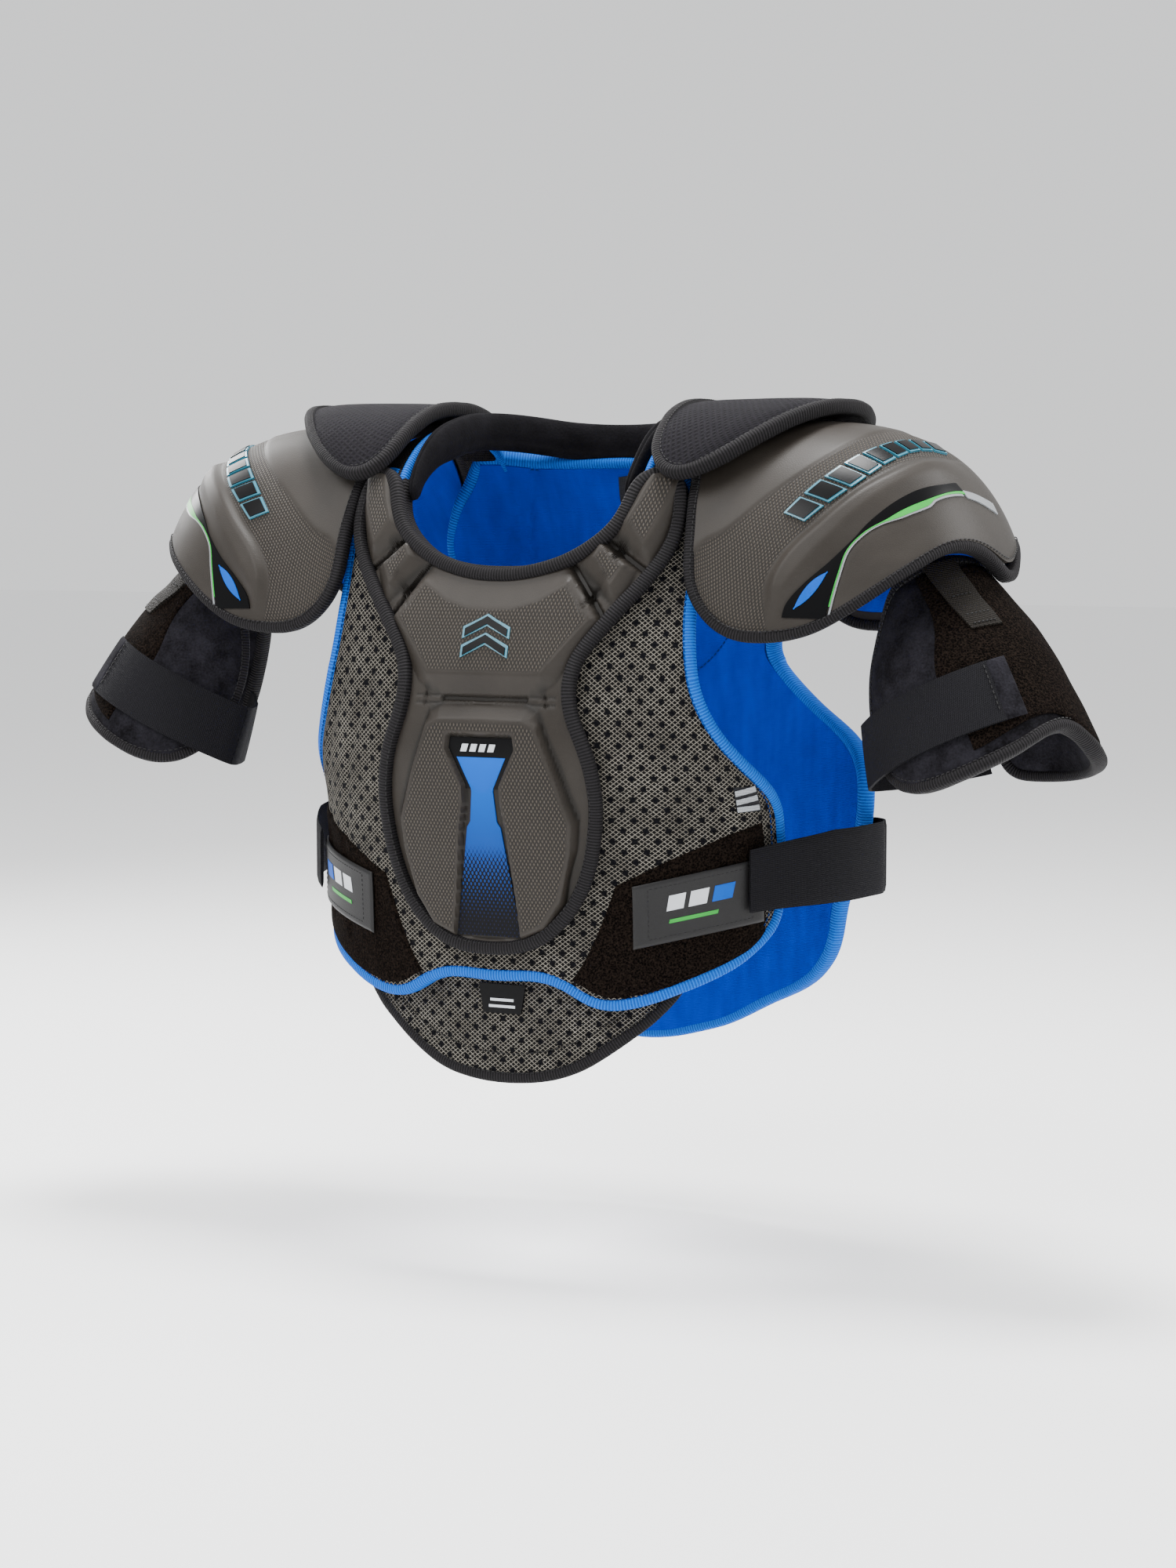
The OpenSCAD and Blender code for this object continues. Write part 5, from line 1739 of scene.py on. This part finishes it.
@dataclass
class ArmGuard:
    """The padded biceps guard with its fleece strip, webbing and elastic strap."""

    side: Side
    strap_w: float = 38.0
    strap_low: float = 82.0

    def build(self) -> None:
        """Builds and dresses the guard."""
        word, body = self.side.word, f"arm_guard_{self.side.word}"
        a, b = guard_grid(1.5, 80, 120)
        high = -1.2 + pillow(*a.shape, 16, 1.0) + creases(a.shape, 0.3, 9, 12)
        low = -9.2 - pillow(*a.shape, 16, 0.8)
        panel = shell(f"guard_cloth_{word}", round_arm, (a, b), low, high, self.side)
        swell(panel, "guard", self.side, 3.0, 1.6)
        put(panel, NAP, body, f"guard_{word}", fill=0.5)
        edge, inner = guard_grid(0, 60, 90), guard_grid(2.8, 60, 90)
        sizes, node = (7.6, -9.4, 0.9), f"guard_binding_{word}"
        hem("guard", round_arm, edge, inner, sizes, 31, 0.4, body, node, self.side)
        s, t = np.linspace(0.27, 0.63, 80)[:, None], np.linspace(0, 1, 80)[None, :]
        a = 9 * (1 - t) + (curve(s, GUARD_BOTTOM) - 6) * t
        bay = 9 * np.exp(-(((a - 74) / 26) ** 2)) + 9 * np.exp(-(((a - 8) / 22) ** 2))
        b = -140 + (GUARD_REAR + 140) * s - bay * (0.63 - s) / 0.36
        high = 1.5 + creases(a.shape, 0.15, 12, 4)
        pile = shell(f"guard_fleece_{word}", round_arm, (a, b), -0.8, high, self.side, soft_rim=3)
        put(pile, FLEECE, body, f"guard_loop_{word}")
        self.straps(word, body)

    def straps(self, word: str, body: str) -> None:
        """The webbing, and the strap from the guard's rear round to its front."""
        t, s = np.linspace(0, 1, 60)[:, None], np.linspace(-1, 1, 15)[None, :]
        a_mid, b_mid = 5 + 48 * t, -60 + 14 * t
        b = b_mid + s * np.degrees(np.arcsin(10 / np.maximum(curve(a_mid, ARM_RADIUS) + 2, 30)))
        grid = ((a_mid + 0 * s).T, b.T)
        lift = 1.7 + 0.25 * np.sin(grid[0] / 3.1)
        webbing = shell(f"guard_webbing_{word}", round_arm, grid, lift - 0.7, lift + 1.5, self.side)
        put(webbing, WEBBING, body, f"guard_webbing_{word}")
        rows = []
        for index, down in enumerate((30.0, 44.0, 50.5)):
            line = (np.full(14, down), np.linspace(-8.5, 8.5, 14) - 60 + 14 * (down - 5) / 48)
            rows.append(stitches(f"row_{index}", round_arm, line, 3.4, self.side, 2.6, 1.9, closed=False))
        put(joined(f"guard_webbing_stitches_{word}", rows), THREAD, body)
        b = np.linspace(-256, -152.3, 90)[:, None]
        a = (self.strap_low + self.strap_w * np.linspace(0, 1, 21))[None, :] + 0 * b
        strap = shell(f"arm_strap_elastic_{word}", strap_skin, (a, b + 0 * a), 0, 2.0, self.side)
        put(strap, ELASTIC, body, f"arm_strap_{word}")
        end = f"arm_strap_end_{word}"
        j = np.linspace(0, 10, 90)[:, None]
        a = (self.strap_low + self.strap_w * np.linspace(0, 1, 21))[None, :] - 0.8 * j
        b = -152 + 10.6 * j + 0 * a
        last = 81
        strap = shell(f"arm_strap_end_elastic_{word}", strap_skin, (a[:last], b[:last]), 0, 2.0, self.side)
        put(strap, ELASTIC, end, f"arm_strap_tab_{word}")
        rest = a[last - 2 :], b[last - 2 :]
        put(shell(f"arm_strap_pull_{word}", strap_skin, rest, -0.1, 2.4, self.side, soft_rim=1), NAP, end)
        line = (np.linspace(self.strap_low - 5, self.strap_low + 26, 40), np.full(40, -152 + 10.6 * 8.75))
        row = stitches(f"arm_strap_stitches_{word}", strap_skin, line, 2.4, self.side, closed=False)
        put(row, THREAD, end)


TAB_BARS = (
    ("white", WHITE_PRINT, ((0.30, 0.44, 0.50, 0.74), (0.48, 0.62, 0.50, 0.74))),
    ("blue", BLUE_FILM, ((0.66, 0.80, 0.50, 0.74),)),
    ("green", GREEN_FILM, ((0.34, 0.72, 0.30, 0.36),)),
)


@dataclass
class SideBelt:
    """The elastic belt from the back round to a rubber tab that grips the front's fleece."""

    side: Side
    thick: float = 2.0
    tab_low: float = 93.0
    tab_tall: float = 39.0

    def place(self, s: Array, t: Array) -> Grid:
        """Places on the tab from shares of its width and height."""
        x = 85 + 56 * s
        return x, self.tab_low + 0.26 * (x - 85) + self.tab_tall * t

    def build(self) -> None:
        """Builds and dresses the belt."""
        word, body = self.side.word, f"side_belt_{self.side.word}"
        line = ((149, -66), (163, -47), (176, -24), (186, 0), (192, 22), (194, 38), (190, 50))
        line = np.array(line, float)
        t, flat = smooth_path(line, 80)
        share = t / t[-1]
        widens = np.clip(share * 2, 0, 1)
        centre = np.column_stack([flat, 133 + 6 * widens + 0.5 * np.sin(share * 9)])
        across = np.tile([0, 0, 1.0], (len(t), 1))
        belt = strip(f"belt_elastic_{word}", centre, across, 38 + 7 * widens, self.thick, self.side)
        put(belt, ELASTIC, body, f"belt_{word}")
        s, v = np.linspace(0, 1, 60)[None, :], np.linspace(0, 1, 40)[:, None]
        grid = self.place(s + 0 * v, v + 0 * s)
        tab = shell(f"belt_tab_rubber_{word}", front_skin, grid, 10.9, 13.4, self.side, soft_rim=2)
        put(tab, RUBBER, body, f"belt_tab_{word}")
        ends = ((0.14, 0.1), (0.93, 0.1), (0.93, 0.9), (0.14, 0.9))
        path = [np.linspace(p, q, 40)[:-1] for p, q in zip(ends, ends[1:] + ends[:1])]
        s, v = np.concatenate(path).T
        row = stitches(f"belt_tab_stitches_{word}", front_skin, self.place(s, v), 13.3, self.side,
                       pitch=3.0, length=2.1, radius=0.33)
        put(row, THREAD, body)
        for name, finish, rows in TAB_BARS:
            bars = []
            for index, (left, right, low, high) in enumerate(rows):
                v = np.linspace(low, high, 4)[:, None]
                s = np.linspace(left, right, 6)[None, :] + 0.10 * (v - 0.5)
                place = self.place(s, v + 0 * s)
                bars.append(shell(f"bar_{index}", front_skin, place, 13.0, 13.65, self.side))
            put(joined(f"belt_tab_print_{name}_{word}", bars), finish, body)


# ---- studio ------------------------------------------------------------------------------------


@dataclass
class Studio:
    """A plain pale floor, soft lights and the camera."""

    azimuth: float = 26.0
    elevation: float = 5.0
    distance: float = 2.1
    lens: float = 75.6
    target: tuple[float, float, float] = (0.00674, 0.00329, 0.181)
    floor_z: float = -0.115

    def build(self) -> None:
        """Builds the floor, lights and camera."""
        self.floor()
        self.light("Key", (-0.8, -1.5, 1.7), 1.0, 46)
        self.light("Fill", (1.7, -1.2, 0.9), 1.2, 12)
        self.light("Rim_left", (-1.4, 0.6, 1.1), 0.8, 34)
        self.light("Rim_right", (1.5, 0.6, 1.2), 0.8, 34)
        self.light("Top", (0.0, 0.0, 1.9), 0.6, 60)
        world = bpy.data.worlds.new("soft_studio")
        bpy.context.scene.world = world
        world.use_nodes = True
        world.node_tree.nodes["Background"].inputs[0].default_value = colour("#fbfcfd")
        world.node_tree.nodes["Background"].inputs[1].default_value = 1.1
        data = bpy.data.cameras.new("Camera")
        data.lens, data.sensor_width, data.clip_start = self.lens, 36, 0.01
        camera = bpy.data.objects.new("Camera", data)
        bpy.context.scene.collection.objects.link(camera)
        az, el = math.radians(self.azimuth), math.radians(self.elevation)
        back = Vector((math.sin(az) * math.cos(el), -math.cos(az) * math.cos(el), math.sin(el)))
        camera.location = Vector(self.target) + back * self.distance
        camera.rotation_euler = back.to_track_quat("Z", "Y").to_euler()
        bpy.context.scene.camera = camera

    def floor(self) -> None:
        """A matt white floor, a large flat plane."""
        bpy.ops.object.select_all(action="DESELECT")
        bpy.ops.mesh.primitive_plane_add(size=24, location=(0, 0, self.floor_z))
        floor = bpy.context.object
        floor.name = "Floor"
        material = bpy.data.materials.new("painted_floor_matt")
        material.use_nodes = True
        shader = material.node_tree.nodes["Principled BSDF"]
        shader.inputs["Base Color"].default_value = colour("#f7f7f7")
        shader.inputs["Roughness"].default_value = 0.9
        floor.data.materials.append(material)

    def light(self, name: str, place: tuple[float, float, float], size: float, power: float) -> None:
        """Adds a soft square light that faces the object."""
        data = bpy.data.lights.new(name, "AREA")
        data.shape, data.size, data.energy = "SQUARE", size, power
        lamp = bpy.data.objects.new(name, data)
        bpy.context.scene.collection.objects.link(lamp)
        lamp.location = place
        lamp.rotation_euler = (Vector(place) - Vector((0, 0, 0.24))).to_track_quat("Z", "Y").to_euler()


def main() -> None:
    """Builds the studio, then every sub-assembly in order."""
    logging.basicConfig(level=logging.INFO, format="%(message)s")
    assemblies = [Studio(), ChestPlate(), VestFront(), VestBack(), BellyPad()]
    for side in Side:
        assemblies += [ShoulderCap(side), ShoulderFlap(side), ArmGuard(side), SideBelt(side)]
    for assembly in assemblies:
        assembly.build()
        LOG.info("built %s", type(assembly).__name__)


if __name__ == "__main__":
    main()
